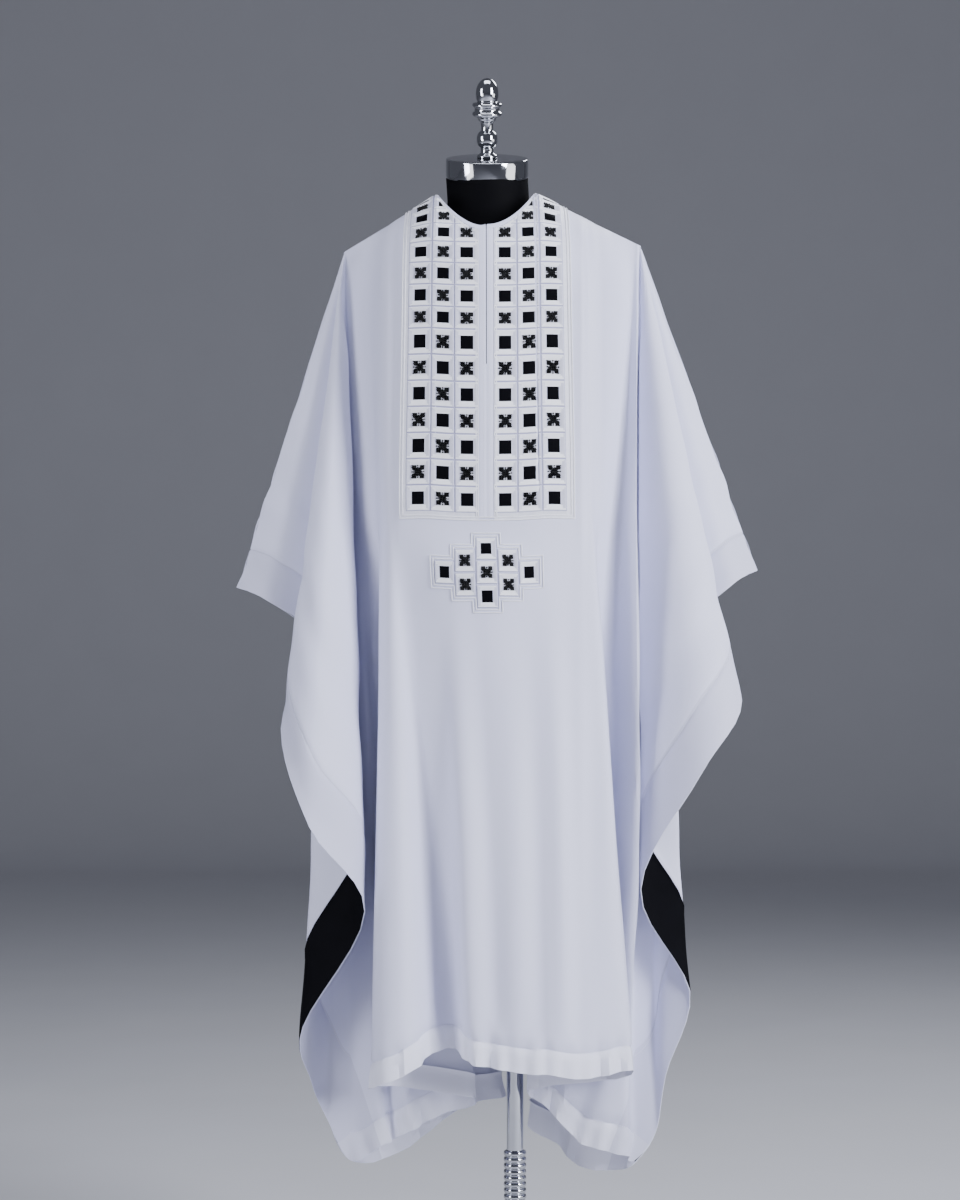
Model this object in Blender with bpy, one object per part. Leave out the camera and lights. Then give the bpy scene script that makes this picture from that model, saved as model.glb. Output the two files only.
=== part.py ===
"""A grand boubou robe on a limbless dress form with its pole stand, modelled in metres, +Z up.

The origin is on the floor, at the middle of the base, on the pole's axis. The wearer's front looks
along -Y, and "left" means the -X side. The robe is one front and one back panel, joined along the
shoulder fold and for a short way above each lower side corner. Each panel is a set of ribs: a rib
starts on the shoulder fold, turns at chest level and ends on the hem or on the arm opening's edge.
The fold tables have one row for each fold, and the ribs between rows are smooth curves.
"""

import math

import bmesh
import bpy
from mathutils import Matrix, Vector

CLOTH = 0.0012  # wall of a panel
TRIM = 0.0009  # wall of a facing, a band or the embroidered ground
GAP = 0.0003  # between neighbouring pieces
LAID_GAP = 0.0010  # between a panel and what is laid on it
SEAM_Y = 0.0021  # half the distance between the two panels where they are joined

SHOULDER = {"left": (-0.255, 1.617), "right": (0.1875, 1.626)}  # x, z where the cloth leaves the form
NECK = {"left": (-0.117, 1.700), "right": (0.030, 1.702)}  # x, z of the neck hole's sides
NECK_MIDDLE = (NECK["left"][0] + NECK["right"][0]) / 2
NECK_HALF = (NECK["right"][0] - NECK["left"][0]) / 2

KNEE_SHARE = 0.32  # where a rib turns from the chest to the hang, as a share of its length
KNEE_Z = 1.220
SHOULDER_DROP = 0.125  # height over which the cloth rounds the shoulder
ROUNDING_ENDS = 0.42  # share of the chest part of a rib over which it rounds the shoulder
ROUNDING_REACH = 0.075  # distance from the shoulder point at which the rounding is whole
SLIT_SHARE = 0.165  # lower end of the neck slit
SLIT_HALF = 0.0005
FACING_SHARE = 0.886  # inner edge of the 60 mm facing, as a share of a rib
BINDING_SHARE = 0.008
RINGS = (0.0, BINDING_SHARE, 0.040, 0.090, SLIT_SHARE, 0.24, KNEE_SHARE, 0.62, FACING_SHARE, 1.0)
OPENING_STARTS, OPENING_ENDS = 0.015, 0.17  # shares between which the side folds open out
SIDE_SWING_OUT, SIDE_SWING_IN = 0.33, 0.03  # sideways slopes of the closed side folds
SIDE_BULGE = 0.30  # slope away from the shoulder fold's plane of the middle closed side fold
SEAM_STARTS = 0.040  # share of a rib by which the panels are their full seam distance apart

# Fold rows, from the left arm opening across to the other. A row gives its name, the x where
# the thread starts on the shoulder fold (None at the shoulder point), its knee x and y (None on a
# straight rib), and its foot x, y and z. Front rows lie at -y, back rows at +y.
FRONT_ROWS = (
    ("left_tip", None, None, None, -0.4155, -0.0002, 1.1130),
    ("left_cuff", None, None, None, -0.3700, -0.0280, 1.0950),
    ("left_tuck", None, None, None, -0.3026, -0.0330, 1.0355),
    ("left_ridge_outer", None, None, None, -0.3444, -0.1000, 0.9070),
    ("left_ridge_crest", None, None, None, -0.2984, -0.1650, 0.7666),
    ("left_ridge_inner", None, None, None, -0.2193, -0.1080, 0.6384),
    ("left_return", None, None, None, -0.3140, -0.0500, 0.4610),
    ("left_side_upper", None, None, None, -0.3028, -0.0280, 0.3768),
    ("left_side_lower", None, None, None, -0.2797, -SEAM_Y, 0.3146),
    ("left_corner", None, None, None, -0.2467, -SEAM_Y, 0.2554),
    ("left_under_outer", None, -0.2390, -0.0200, -0.2020, -0.0200, 0.2787),
    ("left_dent", -0.2480, -0.2310, -0.0310, -0.1848, -0.0050, 0.2863),
    ("left_under_middle", -0.2400, -0.2220, -0.0410, -0.1585, -0.0260, 0.3020),
    ("left_under_inner", -0.2320, -0.2130, -0.0510, -0.1125, -0.0100, 0.3240),
    ("left_valley", -0.2250, -0.2060, -0.0610, -0.0540, -0.0330, 0.3515),
    ("left_behind_edge", -0.2160, -0.2010, -0.0730, -0.1827, -0.0640, 0.3770),
    ("left_edge", -0.2050, -0.1965, -0.0890, -0.2100, -0.1250, 0.3833),
    ("left_lobe", -0.1850, -0.1870, -0.1080, -0.1611, -0.1580, 0.4070),
    ("left_notch", -0.1600, -0.1690, -0.1200, -0.1040, -0.0880, 0.4386),
    ("neck_left", NECK["left"][0], -0.1220, -0.1340, -0.0760, -0.1320, 0.4250),
    ("neck_turn_left", -0.1120, -0.1160, -0.1350, -0.0730, -0.1340, 0.4240),
    ("left_chest", -0.0860, -0.0850, -0.1400, -0.0560, -0.1450, 0.4190),
    ("placket_left", -0.0545, -0.0540, -0.1425, -0.0300, -0.1500, 0.4150),
    ("centre", NECK_MIDDLE, -0.0430, -0.1430, -0.0180, -0.1505, 0.4135),
    ("placket_right", -0.0325, -0.0320, -0.1425, -0.0060, -0.1510, 0.4115),
    ("right_chest", -0.0020, 0.0000, -0.1400, 0.0214, -0.1550, 0.4070),
    ("neck_turn_right", 0.0250, 0.0305, -0.1370, 0.0440, -0.1600, 0.4090),
    ("neck_right", NECK["right"][0], 0.0360, -0.1360, 0.0488, -0.1610, 0.4093),
    ("border_right", 0.0750, 0.0859, -0.1290, 0.0796, -0.1450, 0.3996),
    ("right_hang", 0.0900, 0.0990, -0.1260, 0.1167, -0.1320, 0.4000),
    ("right_edge", 0.1060, 0.1100, -0.1210, 0.1682, -0.1150, 0.4080),
    ("right_behind_edge", 0.1230, 0.1160, -0.1060, 0.1517, -0.0640, 0.3876),
    ("right_valley", 0.1400, 0.1240, -0.0950, 0.0202, -0.0480, 0.3680),
    ("right_under_inner", 0.1550, 0.1340, -0.0830, 0.0461, -0.0230, 0.3394),
    ("right_under_middle", 0.1700, 0.1460, -0.0720, 0.0940, -0.0180, 0.2883),
    ("right_under_outer", 0.1790, 0.1600, -0.0750, 0.1278, -0.0330, 0.2756),
    ("right_pillar", 0.1840, 0.1770, -0.1040, 0.1600, -0.0230, 0.2680),
    ("right_pillar_back", None, 0.1680, -0.0450, 0.1700, -0.0080, 0.2610),
    ("right_corner", None, None, None, 0.1791, -SEAM_Y, 0.2554),
    ("right_side_lower", None, None, None, 0.2099, -SEAM_Y, 0.2959),
    ("right_side_upper", None, None, None, 0.2238, -0.0200, 0.3857),
    ("right_return", None, None, None, 0.2576, -0.0420, 0.5137),
    ("right_ridge_inner", None, None, None, 0.1840, -0.0600, 0.6668),
    ("right_ridge_crest", None, None, None, 0.2680, -0.1320, 0.8400),
    ("right_ridge_outer", None, None, None, 0.3313, -0.1000, 0.9483),
    ("right_tuck", None, None, None, 0.2705, -0.0350, 1.0534),
    ("right_cuff", None, None, None, 0.3230, -0.0260, 1.1180),
    ("right_tip", None, None, None, 0.3615, -0.0002, 1.1385),
)

BACK_ROWS = (
    ("left_tip", None, None, None, -0.4155, 0.0002, 1.1130),
    ("left_cuff", None, None, None, -0.3680, 0.0320, 1.0920),
    ("left_tuck", None, None, None, -0.3000, 0.0360, 1.0300),
    ("left_ridge_outer", None, None, None, -0.3350, 0.1000, 0.9250),
    ("left_ridge_crest", None, None, None, -0.2850, 0.1550, 0.7900),
    ("left_ridge_inner", None, None, None, -0.2200, 0.1050, 0.6500),
    ("left_return", None, None, None, -0.3000, 0.0500, 0.4800),
    ("left_side_upper", None, None, None, -0.2900, 0.0270, 0.3740),
    ("left_side_lower", None, None, None, -0.2797, SEAM_Y, 0.3146),
    ("left_corner", None, None, None, -0.2467, SEAM_Y, 0.2540),
    ("left_under_middle", None, -0.2340, 0.0320, -0.1740, 0.0400, 0.2600),
    ("left_under_inner", -0.2350, -0.2210, 0.0500, -0.0803, 0.0480, 0.3270),
    ("left_valley", -0.2200, -0.2120, 0.0660, -0.0170, 0.0640, 0.3433),
    ("left_behind_edge", -0.2000, -0.2040, 0.0820, -0.1750, 0.0920, 0.3650),
    ("left_edge", -0.1800, -0.1950, 0.1020, -0.2000, 0.1300, 0.3750),
    ("left_fold", -0.1500, -0.1620, 0.1200, -0.1280, 0.1680, 0.3760),
    ("neck_left", NECK["left"][0], -0.1180, 0.1300, -0.0760, 0.1300, 0.3950),
    ("centre", NECK_MIDDLE, -0.0430, 0.1350, -0.0150, 0.1600, 0.3840),
    ("neck_right", NECK["right"][0], 0.0320, 0.1300, 0.0450, 0.1320, 0.3950),
    ("right_fold", 0.0800, 0.0820, 0.1220, 0.1000, 0.1650, 0.3800),
    ("right_edge", 0.1250, 0.1240, 0.1080, 0.1650, 0.1300, 0.3850),
    ("right_behind_edge", 0.1450, 0.1380, 0.0880, 0.1500, 0.0900, 0.3700),
    ("right_valley", 0.1600, 0.1500, 0.0700, 0.0270, 0.0620, 0.3016),
    ("right_under_inner", 0.1750, 0.1620, 0.0520, 0.0644, 0.0530, 0.2705),
    ("right_under_middle", None, 0.1740, 0.0350, 0.0962, 0.0470, 0.2380),
    ("right_under_outer", None, 0.1810, 0.0200, 0.1514, 0.0280, 0.2351),
    ("right_corner", None, None, None, 0.1791, SEAM_Y, 0.2500),
    ("right_side_lower", None, None, None, 0.2099, SEAM_Y, 0.2959),
    ("right_side_upper", None, None, None, 0.2180, 0.0260, 0.3857),
    ("right_return", None, None, None, 0.2450, 0.0450, 0.5250),
    ("right_ridge_inner", None, None, None, 0.1880, 0.0700, 0.6750),
    ("right_ridge_crest", None, None, None, 0.2550, 0.1350, 0.8500),
    ("right_ridge_outer", None, None, None, 0.3150, 0.1000, 0.9600),
    ("right_tuck", None, None, None, 0.2650, 0.0380, 1.0500),
    ("right_cuff", None, None, None, 0.3200, 0.0280, 1.1160),
    ("right_tip", None, None, None, 0.3615, 0.0002, 1.1385),
)
BOWS = {"right_pillar": (0.012, -0.022)}  # x, y by which a rib bows out between its knee and its foot

NECK_DROPS = {"front": 0.087, "back": 0.062}  # share of a rib that the neck hole takes at its middle

FORM_SECTIONS = (
    # z, half width, half depth of the torso and neck
    (0.9700, 0.100, 0.060),
    (0.9780, 0.126, 0.078),
    (1.0000, 0.138, 0.086),
    (1.1000, 0.150, 0.096),
    (1.2200, 0.163, 0.106),
    (1.3400, 0.177, 0.114),
    (1.4500, 0.188, 0.114),
    (1.5300, 0.191, 0.104),
    (1.5900, 0.180, 0.086),
    (1.6250, 0.143, 0.074),
    (1.6500, 0.098, 0.066),
    (1.6720, 0.070, 0.063),
    (1.6920, 0.0612, 0.0610),
    (1.7270, 0.0615, 0.0615),
)
FORM_LEAN = (-0.0420, 0.0, 0.757)  # sideways shift of the neck over the height of the form
CAP_TILT = math.radians(15)
CAP_HEIGHT = 0.0310

POLE_RADIUS = 0.0125
TUBE_RADIUS = 0.0148
TUBE_BORE = POLE_RADIUS + GAP
COLLAR_RADIUS = 0.0170
COLLAR_TOP, COLLAR_BOTTOM = 0.270, 0.168
COLLAR_PITCH = 0.0093
BASE_RADIUS = 0.175
BASE_EDGE = 0.008
BASE_TOP = 0.046


def material(name, colour, roughness, metallic=0.0):
    made = bpy.data.materials.new(name)
    made.use_nodes = True
    shader = made.node_tree.nodes["Principled BSDF"]
    shader.inputs["Base Color"].default_value = (*colour, 1)
    shader.inputs["Roughness"].default_value = roughness
    shader.inputs["Metallic"].default_value = metallic
    return made


def add_mesh(name, points, faces, finish, smooth=True):
    mesh = bpy.data.meshes.new(name)
    mesh.from_pydata([tuple(point) for point in points], [], faces)
    mesh.validate()
    piece = bpy.data.objects.new(name, mesh)
    bpy.context.collection.objects.link(piece)
    mesh.materials.append(finish)
    if smooth:
        mesh.shade_smooth()
        mesh.set_sharp_from_angle(angle=math.radians(40))
    return piece


def smooth_step(low, high, value):
    share = min(1.0, max(0.0, (value - low) / (high - low)))
    return share * share * (3 - 2 * share)


def shoulder_height(x):
    """Height of the shoulder fold above x: straight from each shoulder point up to the neck."""
    side = "left" if x < NECK_MIDDLE else "right"
    (outer_x, outer_z), (inner_x, inner_z) = SHOULDER[side], NECK[side]
    share = (x - outer_x) / (inner_x - outer_x)
    return outer_z + (inner_z - outer_z) * min(1.0, share)


def shoulder_point(x):
    side = "left" if x < NECK_MIDDLE else "right"
    return Vector((SHOULDER[side][0], 0, SHOULDER[side][1]))


def row_path(row, share):
    """The point on a fold row at a share of its length from the shoulder fold, and how far it is
    towards the middle of the chest, from 0 at the shoulder point to 1 at the neck."""
    name, head_x, knee_x, knee_y, *foot = row
    foot = Vector(foot)
    tip = shoulder_point(foot.x if knee_x is None else knee_x)
    if knee_x is None:
        return tip.lerp(foot, share)
    head = tip if head_x is None else Vector((head_x, 0, shoulder_height(head_x)))
    knee = Vector((knee_x, knee_y, KNEE_Z))
    if share > KNEE_SHARE:
        along = (share - KNEE_SHARE) / (1 - KNEE_SHARE)
        bow = Vector((*BOWS.get(name, (0, 0)), 0)) * math.sin(math.pi * along)
        return knee.lerp(foot, along) + bow
    along = share / KNEE_SHARE
    straight = head.lerp(knee, along)
    inwards = smooth_step(0.0, ROUNDING_REACH, abs(head.x - tip.x))
    turn = min(1.0, along / ROUNDING_ENDS) * math.pi / 2
    level = head.z - SHOULDER_DROP * (1 - math.cos(turn))
    if along > ROUNDING_ENDS:
        level += (KNEE_Z - level) * (along - ROUNDING_ENDS) / (1 - ROUNDING_ENDS)
    rounded = Vector((straight.x, knee.y * math.sin(turn), level))
    return straight.lerp(rounded, inwards)


def closed_path(row, rank, share):
    """The path of a side row near the shoulder point, where its fold hasn't opened yet."""
    foot = Vector(row[4:])
    tip = shoulder_point(foot.x)
    side = math.copysign(1, foot.x - NECK_MIDDLE)
    facing = math.copysign(1, foot.y)
    swing = side * (SIDE_SWING_OUT * rank - SIDE_SWING_IN * (1 - rank))
    aim = Vector((swing, facing * SIDE_BULGE * math.sin(math.pi * rank), -1))
    return tip + aim.normalized() * (foot - tip).length * share


def spline(before, start, end, after, share):
    """A point between start and end on the smooth curve through four points."""
    return 0.5 * (
        2 * start
        + (end - before) * share
        + (2 * before - 5 * start + 4 * end - after) * share**2
        + (3 * start - before - 3 * end + after) * share**3
    )


def below_neck(cut, ring):
    """The share of a rib at a ring, where the neck hole takes the rib's first part up to cut."""
    return ring + cut * max(0.0, 1 - ring / KNEE_SHARE)


class Panel:
    """A panel's middle surface: ribs[i][j] is a point on rib i at ring j, with its outward normal."""

    def __init__(self, rows, facing, steps=2):
        self.facing = facing
        self.row_count = len(rows)
        drop = NECK_DROPS["front" if facing < 0 else "back"]
        self.names = {row[0]: i * steps for i, row in enumerate(rows)}
        self.ribs = []
        straight = [i for i, row in enumerate(rows) if row[2] is None]
        left_rows = [i for i in straight if rows[i][4] < NECK_MIDDLE]
        right_rows = [i for i in straight if rows[i][4] > NECK_MIDDLE]

        def row_point(i, share):
            point = row_path(rows[i], share)
            if i in straight and 0 < share < OPENING_ENDS:
                side_rows = left_rows if i in left_rows else right_rows
                rank = (side_rows.index(i) + 1) / len(side_rows)
                rank = 1 - rank if i in left_rows else rank
                rank = 1.0 if rows[i][0].endswith("tip") else rank
                if rank < 1:
                    point = closed_path(rows[i], rank, share).lerp(
                        point, smooth_step(OPENING_STARTS, OPENING_ENDS, share)
                    )
            return point

        for i in range(len(rows)):
            for step in range(steps if i < len(rows) - 1 else 1):
                across = step / steps
                head = self._between(row_point, i, across, 0.0)
                from_middle = abs(head.x - NECK_MIDDLE) / NECK_HALF
                cut = drop * math.sqrt(1 - from_middle**2) if from_middle < 1 else 0.0
                self.ribs.append(
                    [self._between(row_point, i, across, below_neck(cut, ring)) for ring in RINGS]
                )
        self.normals = self._normals()

    def _between(self, row_point, i, across, share):
        start = row_point(i, share)
        on_fold = not across and i in (0, self.row_count - 1)
        if not across:
            return self._kept_apart(start, 0 if on_fold else share)
        end = row_point(i + 1, share)
        before = row_point(max(i - 1, 0), share)
        after = row_point(min(i + 2, self.row_count - 1), share)
        point = spline(before, start, end, after, across)
        nearest = min(start.y * self.facing, end.y * self.facing)
        point.y = max(point.y * self.facing, nearest) * self.facing
        return self._kept_apart(point, share)

    def _kept_apart(self, point, share):
        """Keeps the panels a wall apart where both hang straight down from the shoulder point."""
        nearest = GAP / 2 + (SEAM_Y - GAP / 2) * min(1.0, share / SEAM_STARTS)
        point.y = max(point.y * self.facing, nearest) * self.facing
        return point

    def _normals(self):
        count, rings = len(self.ribs), len(RINGS)
        sums = [[Vector() for _ in range(rings)] for _ in range(count)]
        for i in range(count - 1):
            for j in range(rings - 1):
                for corners in self.triangles(i, j):
                    a, b, c = (self.ribs[m][n] for m, n in corners)
                    normal = (b - a).cross(c - a)
                    for m, n in corners:
                        sums[m][n] += normal
        tips = {}
        for i in range(count):
            key = tuple(round(value, 6) for value in self.ribs[i][0])
            tips.setdefault(key, Vector())
            tips[key] += sums[i][0]
        for i in range(count):
            sums[i][0] = tips[tuple(round(value, 6) for value in self.ribs[i][0])].copy()
            for j in range(rings):
                on_fold = abs(self.ribs[i][j].y) < GAP
                if on_fold:
                    sums[i][j].y = 0
        return [[normal.normalized() for normal in rib] for rib in sums]

    def triangles(self, i, j):
        """Both triangles between ribs i and i+1 and rings j and j+1, facing out."""
        a, b, c, d = (i, j), (i, j + 1), (i + 1, j + 1), (i + 1, j)
        pair = ((a, b, c), (a, c, d))
        return pair if self.facing < 0 else tuple(corners[::-1] for corners in pair)


def wall(name, panel, ribs, rings, low, high, finish, slit=False):
    """A closed wall over part of a panel, from low to high above the panel's middle surface.
    ribs and rings are first and last index, which may hold a part of a step."""
    rib_stops = stops(*ribs)
    ring_stops = stops(*rings)
    middle = panel.names["centre"]
    slit_ring = RINGS.index(SLIT_SHARE)
    keys, outer, inner, faces = {}, [], [], []

    def corner(i, j, side):
        point, normal = sample(panel, rib_stops[i], ring_stops[j])
        if slit and rib_stops[i] == middle and ring_stops[j] < slit_ring:
            point = point + Vector((side * SLIT_HALF, 0, 0))
        key = tuple(round(value, 6) for value in point)
        if key not in keys:
            keys[key] = len(outer)
            outer.append(point + normal * high)
            inner.append(point + normal * low)
        return keys[key]

    for i in range(len(rib_stops) - 1):
        side = -1 if rib_stops[i] < middle else 1
        for j in range(len(ring_stops) - 1):
            a, b, c, d = (
                corner(i, j, side), corner(i, j + 1, side), corner(i + 1, j + 1, side), corner(i + 1, j, side)
            )
            for face in ((a, b, c), (a, c, d)):
                if len(set(face)) == 3:
                    faces.append(face if panel.facing < 0 else face[::-1])
    count = len(outer)
    edges = {}
    for face in faces:
        for start, end in zip(face, face[1:] + face[:1]):
            edges[start, end] = face
    rims = []
    for start, end in edges:
        if (end, start) not in edges:
            rims.append((end, start, start + count))
            rims.append((end, start + count, end + count))
    backs = [tuple(index + count for index in face[::-1]) for face in faces]
    return add_mesh(name, outer + inner, faces + backs + rims, finish)


def stops(first, last):
    whole = range(math.ceil(first), math.floor(last) + 1)
    return sorted({first, last, *whole})


def sample(panel, rib, ring):
    i, j = min(int(rib), len(panel.ribs) - 2), min(int(ring), len(RINGS) - 2)
    across, along = rib - i, ring - j
    corners = ((i, j, (1 - across) * (1 - along)), (i + 1, j, across * (1 - along)))
    corners += ((i, j + 1, (1 - across) * along), (i + 1, j + 1, across * along))
    point, normal = Vector(), Vector()
    for m, n, weight in corners:
        point += panel.ribs[m][n] * weight
        normal += panel.normals[m][n] * weight
    return point, normal.normalized()


def turned(name, profile, finish, sides=32, bore=False, place=None):
    """A solid turned about Z from (radius, z) points, listed top to bottom down its outer side. With
    bore, the profile is a closed outline, and otherwise it starts and ends on the axis."""
    made = bmesh.new()
    loops = []
    for radius, z in profile:
        if radius < 1e-6:
            loops.append([made.verts.new((0, 0, z))] * sides)
        else:
            loops.append([
                made.verts.new((radius * math.cos(turn), radius * math.sin(turn), z))
                for turn in (2 * math.pi * k / sides for k in range(sides))
            ])
    pairs = list(zip(loops, loops[1:] + loops[:1])) if bore else list(zip(loops, loops[1:]))
    for upper, lower in pairs:
        for k in range(sides):
            n = (k + 1) % sides
            corners = []
            for vertex in (upper[k], lower[k], lower[n], upper[n]):
                if vertex not in corners:
                    corners.append(vertex)
            if len(corners) > 2:
                made.faces.new(corners)
    if place is not None:
        made.transform(place)
    mesh = bpy.data.meshes.new(name)
    made.to_mesh(mesh)
    made.free()
    mesh.materials.append(finish)
    mesh.shade_smooth()
    mesh.set_sharp_from_angle(angle=math.radians(35))
    piece = bpy.data.objects.new(name, mesh)
    bpy.context.collection.objects.link(piece)
    return piece


def form_middle(z):
    """The form's axis at height z: it leans a little on its upright pole."""
    share = (z - FORM_SECTIONS[0][0]) / FORM_LEAN[2]
    return Vector((FORM_LEAN[0] * share, 0, z))


def make_form(finish):
    """The torso and neck: elliptical sections, closed flat at the bottom and under the neck cap."""
    sides = 36
    points, faces = [], []
    for z, half_width, half_depth in FORM_SECTIONS:
        middle = form_middle(z)
        for k in range(sides):
            turn = 2 * math.pi * k / sides
            points.append(middle + Vector((half_width * math.cos(turn), half_depth * math.sin(turn), 0)))
    for level in range(len(FORM_SECTIONS) - 1):
        for k in range(sides):
            a, b = level * sides + k, level * sides + (k + 1) % sides
            faces.append((a, b, b + sides, a + sides))
    top = (len(FORM_SECTIONS) - 1) * sides
    neck_tilt = math.tan(CAP_TILT)
    for index in range(top, top + sides):
        points[index].z += points[index].y * neck_tilt
    faces.append(tuple(reversed(range(sides))))
    faces.append(tuple(range(top, top + sides)))
    return add_mesh("form_torso", points, faces, finish)


def make_neck_cap(finish):
    """The cap on the neck and the turned finial, tilted forwards with the neck's top."""
    top = form_middle(FORM_SECTIONS[-1][0])
    place = Matrix.Translation(top) @ Matrix.Rotation(CAP_TILT, 4, "X")
    cap = [(0, CAP_HEIGHT), (0.0560, CAP_HEIGHT), (0.0600, CAP_HEIGHT - 0.0020)]
    cap += [(0.0618, CAP_HEIGHT - 0.0060), (0.0618, 0.0012), (0, 0.0012)]
    turned("neck_cap", cap, finish, 40, place=place)
    knob = [(0.0, 0.1180)]
    for k in range(1, 7):
        turn = math.pi / 2 * k / 6
        knob.append((0.0170 * math.sin(turn), 0.1010 + 0.0170 * math.cos(turn)))
    knob += [(0.0150, 0.0900), (0.0100, 0.0850), (0.0215, 0.0810), (0.0225, 0.0775)]
    knob += [(0.0190, 0.0740), (0.0190, 0.0700), (0.0225, 0.0665), (0.0215, 0.0625)]
    knob += [(0.0130, 0.0580), (0.0090, 0.0500), (0.0085, 0.0430)]
    for k in range(1, 6):
        turn = math.pi * k / 6
        knob.append((0.0085 + 0.0080 * math.sin(turn), 0.0270 + 0.0160 * math.cos(turn)))
    knob += [(0.0100, 0.0090), (0.0150, 0.0040), (0.0150, 0.0), (0.0, 0.0)]
    seat = place @ Matrix.Translation((0, 0, CAP_HEIGHT + GAP))
    turned("finial", knob, finish, 20, place=seat)


def make_stand(chrome):
    socket_top, socket_bottom = FORM_SECTIONS[0][0] - GAP, FORM_SECTIONS[0][0] - 0.016
    socket = [(0.0300, socket_top), (0.0300, socket_top - 0.006), (0.0180, socket_bottom)]
    socket += [(POLE_RADIUS + GAP, socket_bottom), (POLE_RADIUS + GAP, socket_top)]
    turned("pole_socket", socket, chrome, 32, bore=True)
    pole_top, pole_bottom = socket_top, 0.150
    pole = [(0, pole_top), (POLE_RADIUS, pole_top), (POLE_RADIUS, pole_bottom), (0, pole_bottom)]
    turned("upper_pole", pole, chrome, 32)
    tube_bottom = BASE_TOP + GAP
    tube = [(TUBE_RADIUS, COLLAR_BOTTOM - GAP), (TUBE_RADIUS, tube_bottom)]
    tube += [(TUBE_BORE, tube_bottom), (TUBE_BORE, COLLAR_BOTTOM - GAP)]
    turned("lower_tube", tube, chrome, 32, bore=True)
    collar = []
    groove = COLLAR_RADIUS - 0.0022
    ribs = round((COLLAR_TOP - COLLAR_BOTTOM) / COLLAR_PITCH)
    pitch = (COLLAR_TOP - COLLAR_BOTTOM) / ribs
    for k in range(ribs):
        top = COLLAR_TOP - k * pitch
        collar += [(groove, top), (COLLAR_RADIUS, top - 0.25 * pitch), (COLLAR_RADIUS, top - 0.65 * pitch)]
    collar += [(groove, COLLAR_BOTTOM), (TUBE_BORE, COLLAR_BOTTOM), (TUBE_BORE, COLLAR_TOP)]
    turned("ribbed_collar", collar, chrome, 20, bore=True)
    dome = [(0, BASE_TOP), (0.0260, BASE_TOP), (0.0300, BASE_TOP - 0.004)]
    for k in range(1, 9):
        turn = math.pi / 2 * k / 8
        dome.append((0.030 + (BASE_RADIUS - 0.030) * math.sin(turn), BASE_EDGE + 0.022 * math.cos(turn) ** 1.5))
    dome += [(BASE_RADIUS, 0.0), (0, 0.0)]
    turned("base_plate", dome, chrome, 36)


def make_robe(white, black, thread):
    front = Panel(FRONT_ROWS, -1)
    back = Panel(BACK_ROWS, 1)
    last_ring = len(RINGS) - 1
    half, facing_low = CLOTH / 2, -(CLOTH / 2 + GAP + TRIM)
    for side, panel in (("front", front), ("back", back)):
        last_rib = len(panel.ribs) - 1
        wall(f"{side}_panel", panel, (0, last_rib), (0, last_ring), -half, half, white, slit=side == "front")
        facing_ring = RINGS.index(FACING_SHARE)
        facing = ((facing_ring, last_ring), facing_low, -half - GAP, black)
        wall(f"facing_{side}_left", panel, (0, panel.names["left_corner"]), *facing)
        wall(f"facing_{side}_right", panel, (panel.names["right_corner"], last_rib), *facing)
    knee_ring = RINGS.index(KNEE_SHARE)
    apart = 0.02  # share of a rib step or a ring step
    laid = (half + LAID_GAP, half + LAID_GAP + TRIM)
    names = front.names
    for name, panel, first, last in (
        ("neck_binding_left", front, "neck_turn_left", "centre"),
        ("neck_binding_right", front, "centre", "neck_turn_right"),
        ("neck_binding_back", back, "neck_left", "neck_right"),
    ):
        wall(name, panel, (panel.names[first], panel.names[last]), (0, 1), *laid, white, slit=panel is front)
    chest = (1 + apart, knee_ring)
    placket = (names["placket_left"], names["placket_right"])
    embroidery_left = (names["left_notch"], placket[0] - apart)
    embroidery_right = (placket[1] + apart, names["border_right"])
    wall("placket", front, placket, chest, *laid, white, slit=True)
    wall("chest_embroidery_left", front, embroidery_left, chest, *laid, thread)
    wall("chest_embroidery_right", front, embroidery_right, chest, *laid, thread)
    motif = (names["neck_left"] + 0.9, names["right_chest"] + 0.9)
    wall("lower_motif", front, motif, (knee_ring + 0.08, knee_ring + 0.80), *laid, thread)


def main():
    for existing in list(bpy.data.objects):
        bpy.data.objects.remove(existing)
    white = material("white_suiting", (0.72, 0.72, 0.82), 0.5)
    black = material("black_facing", (0.012, 0.012, 0.016), 0.75)
    thread = material("embroidery", (0.80, 0.80, 0.88), 0.35)
    jersey = material("black_jersey", (0.01, 0.01, 0.012), 0.8)
    chrome = material("chrome", (0.75, 0.75, 0.78), 0.12, 1.0)
    make_robe(white, black, thread)
    make_form(jersey)
    make_neck_cap(chrome)
    make_stand(chrome)


main()
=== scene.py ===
"""A white grand boubou robe on a black dress form with a chrome pole stand, in metres, +Z up.

The robe is a front and a back panel, joined along the shoulder fold and above the lower side corners.
Each panel is a set of ribs from the shoulder fold down to the hem or to the arm opening's edge, and
every sewn piece is laid on points of its panel. "left" is the -X side. The pieces of the robe, the
form and the upper pole ride on the body "form", and the tube, its collar and the base on "base".
"""

import functools
import math

import bpy
import numpy as np
from mathutils import Matrix, Vector


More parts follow.
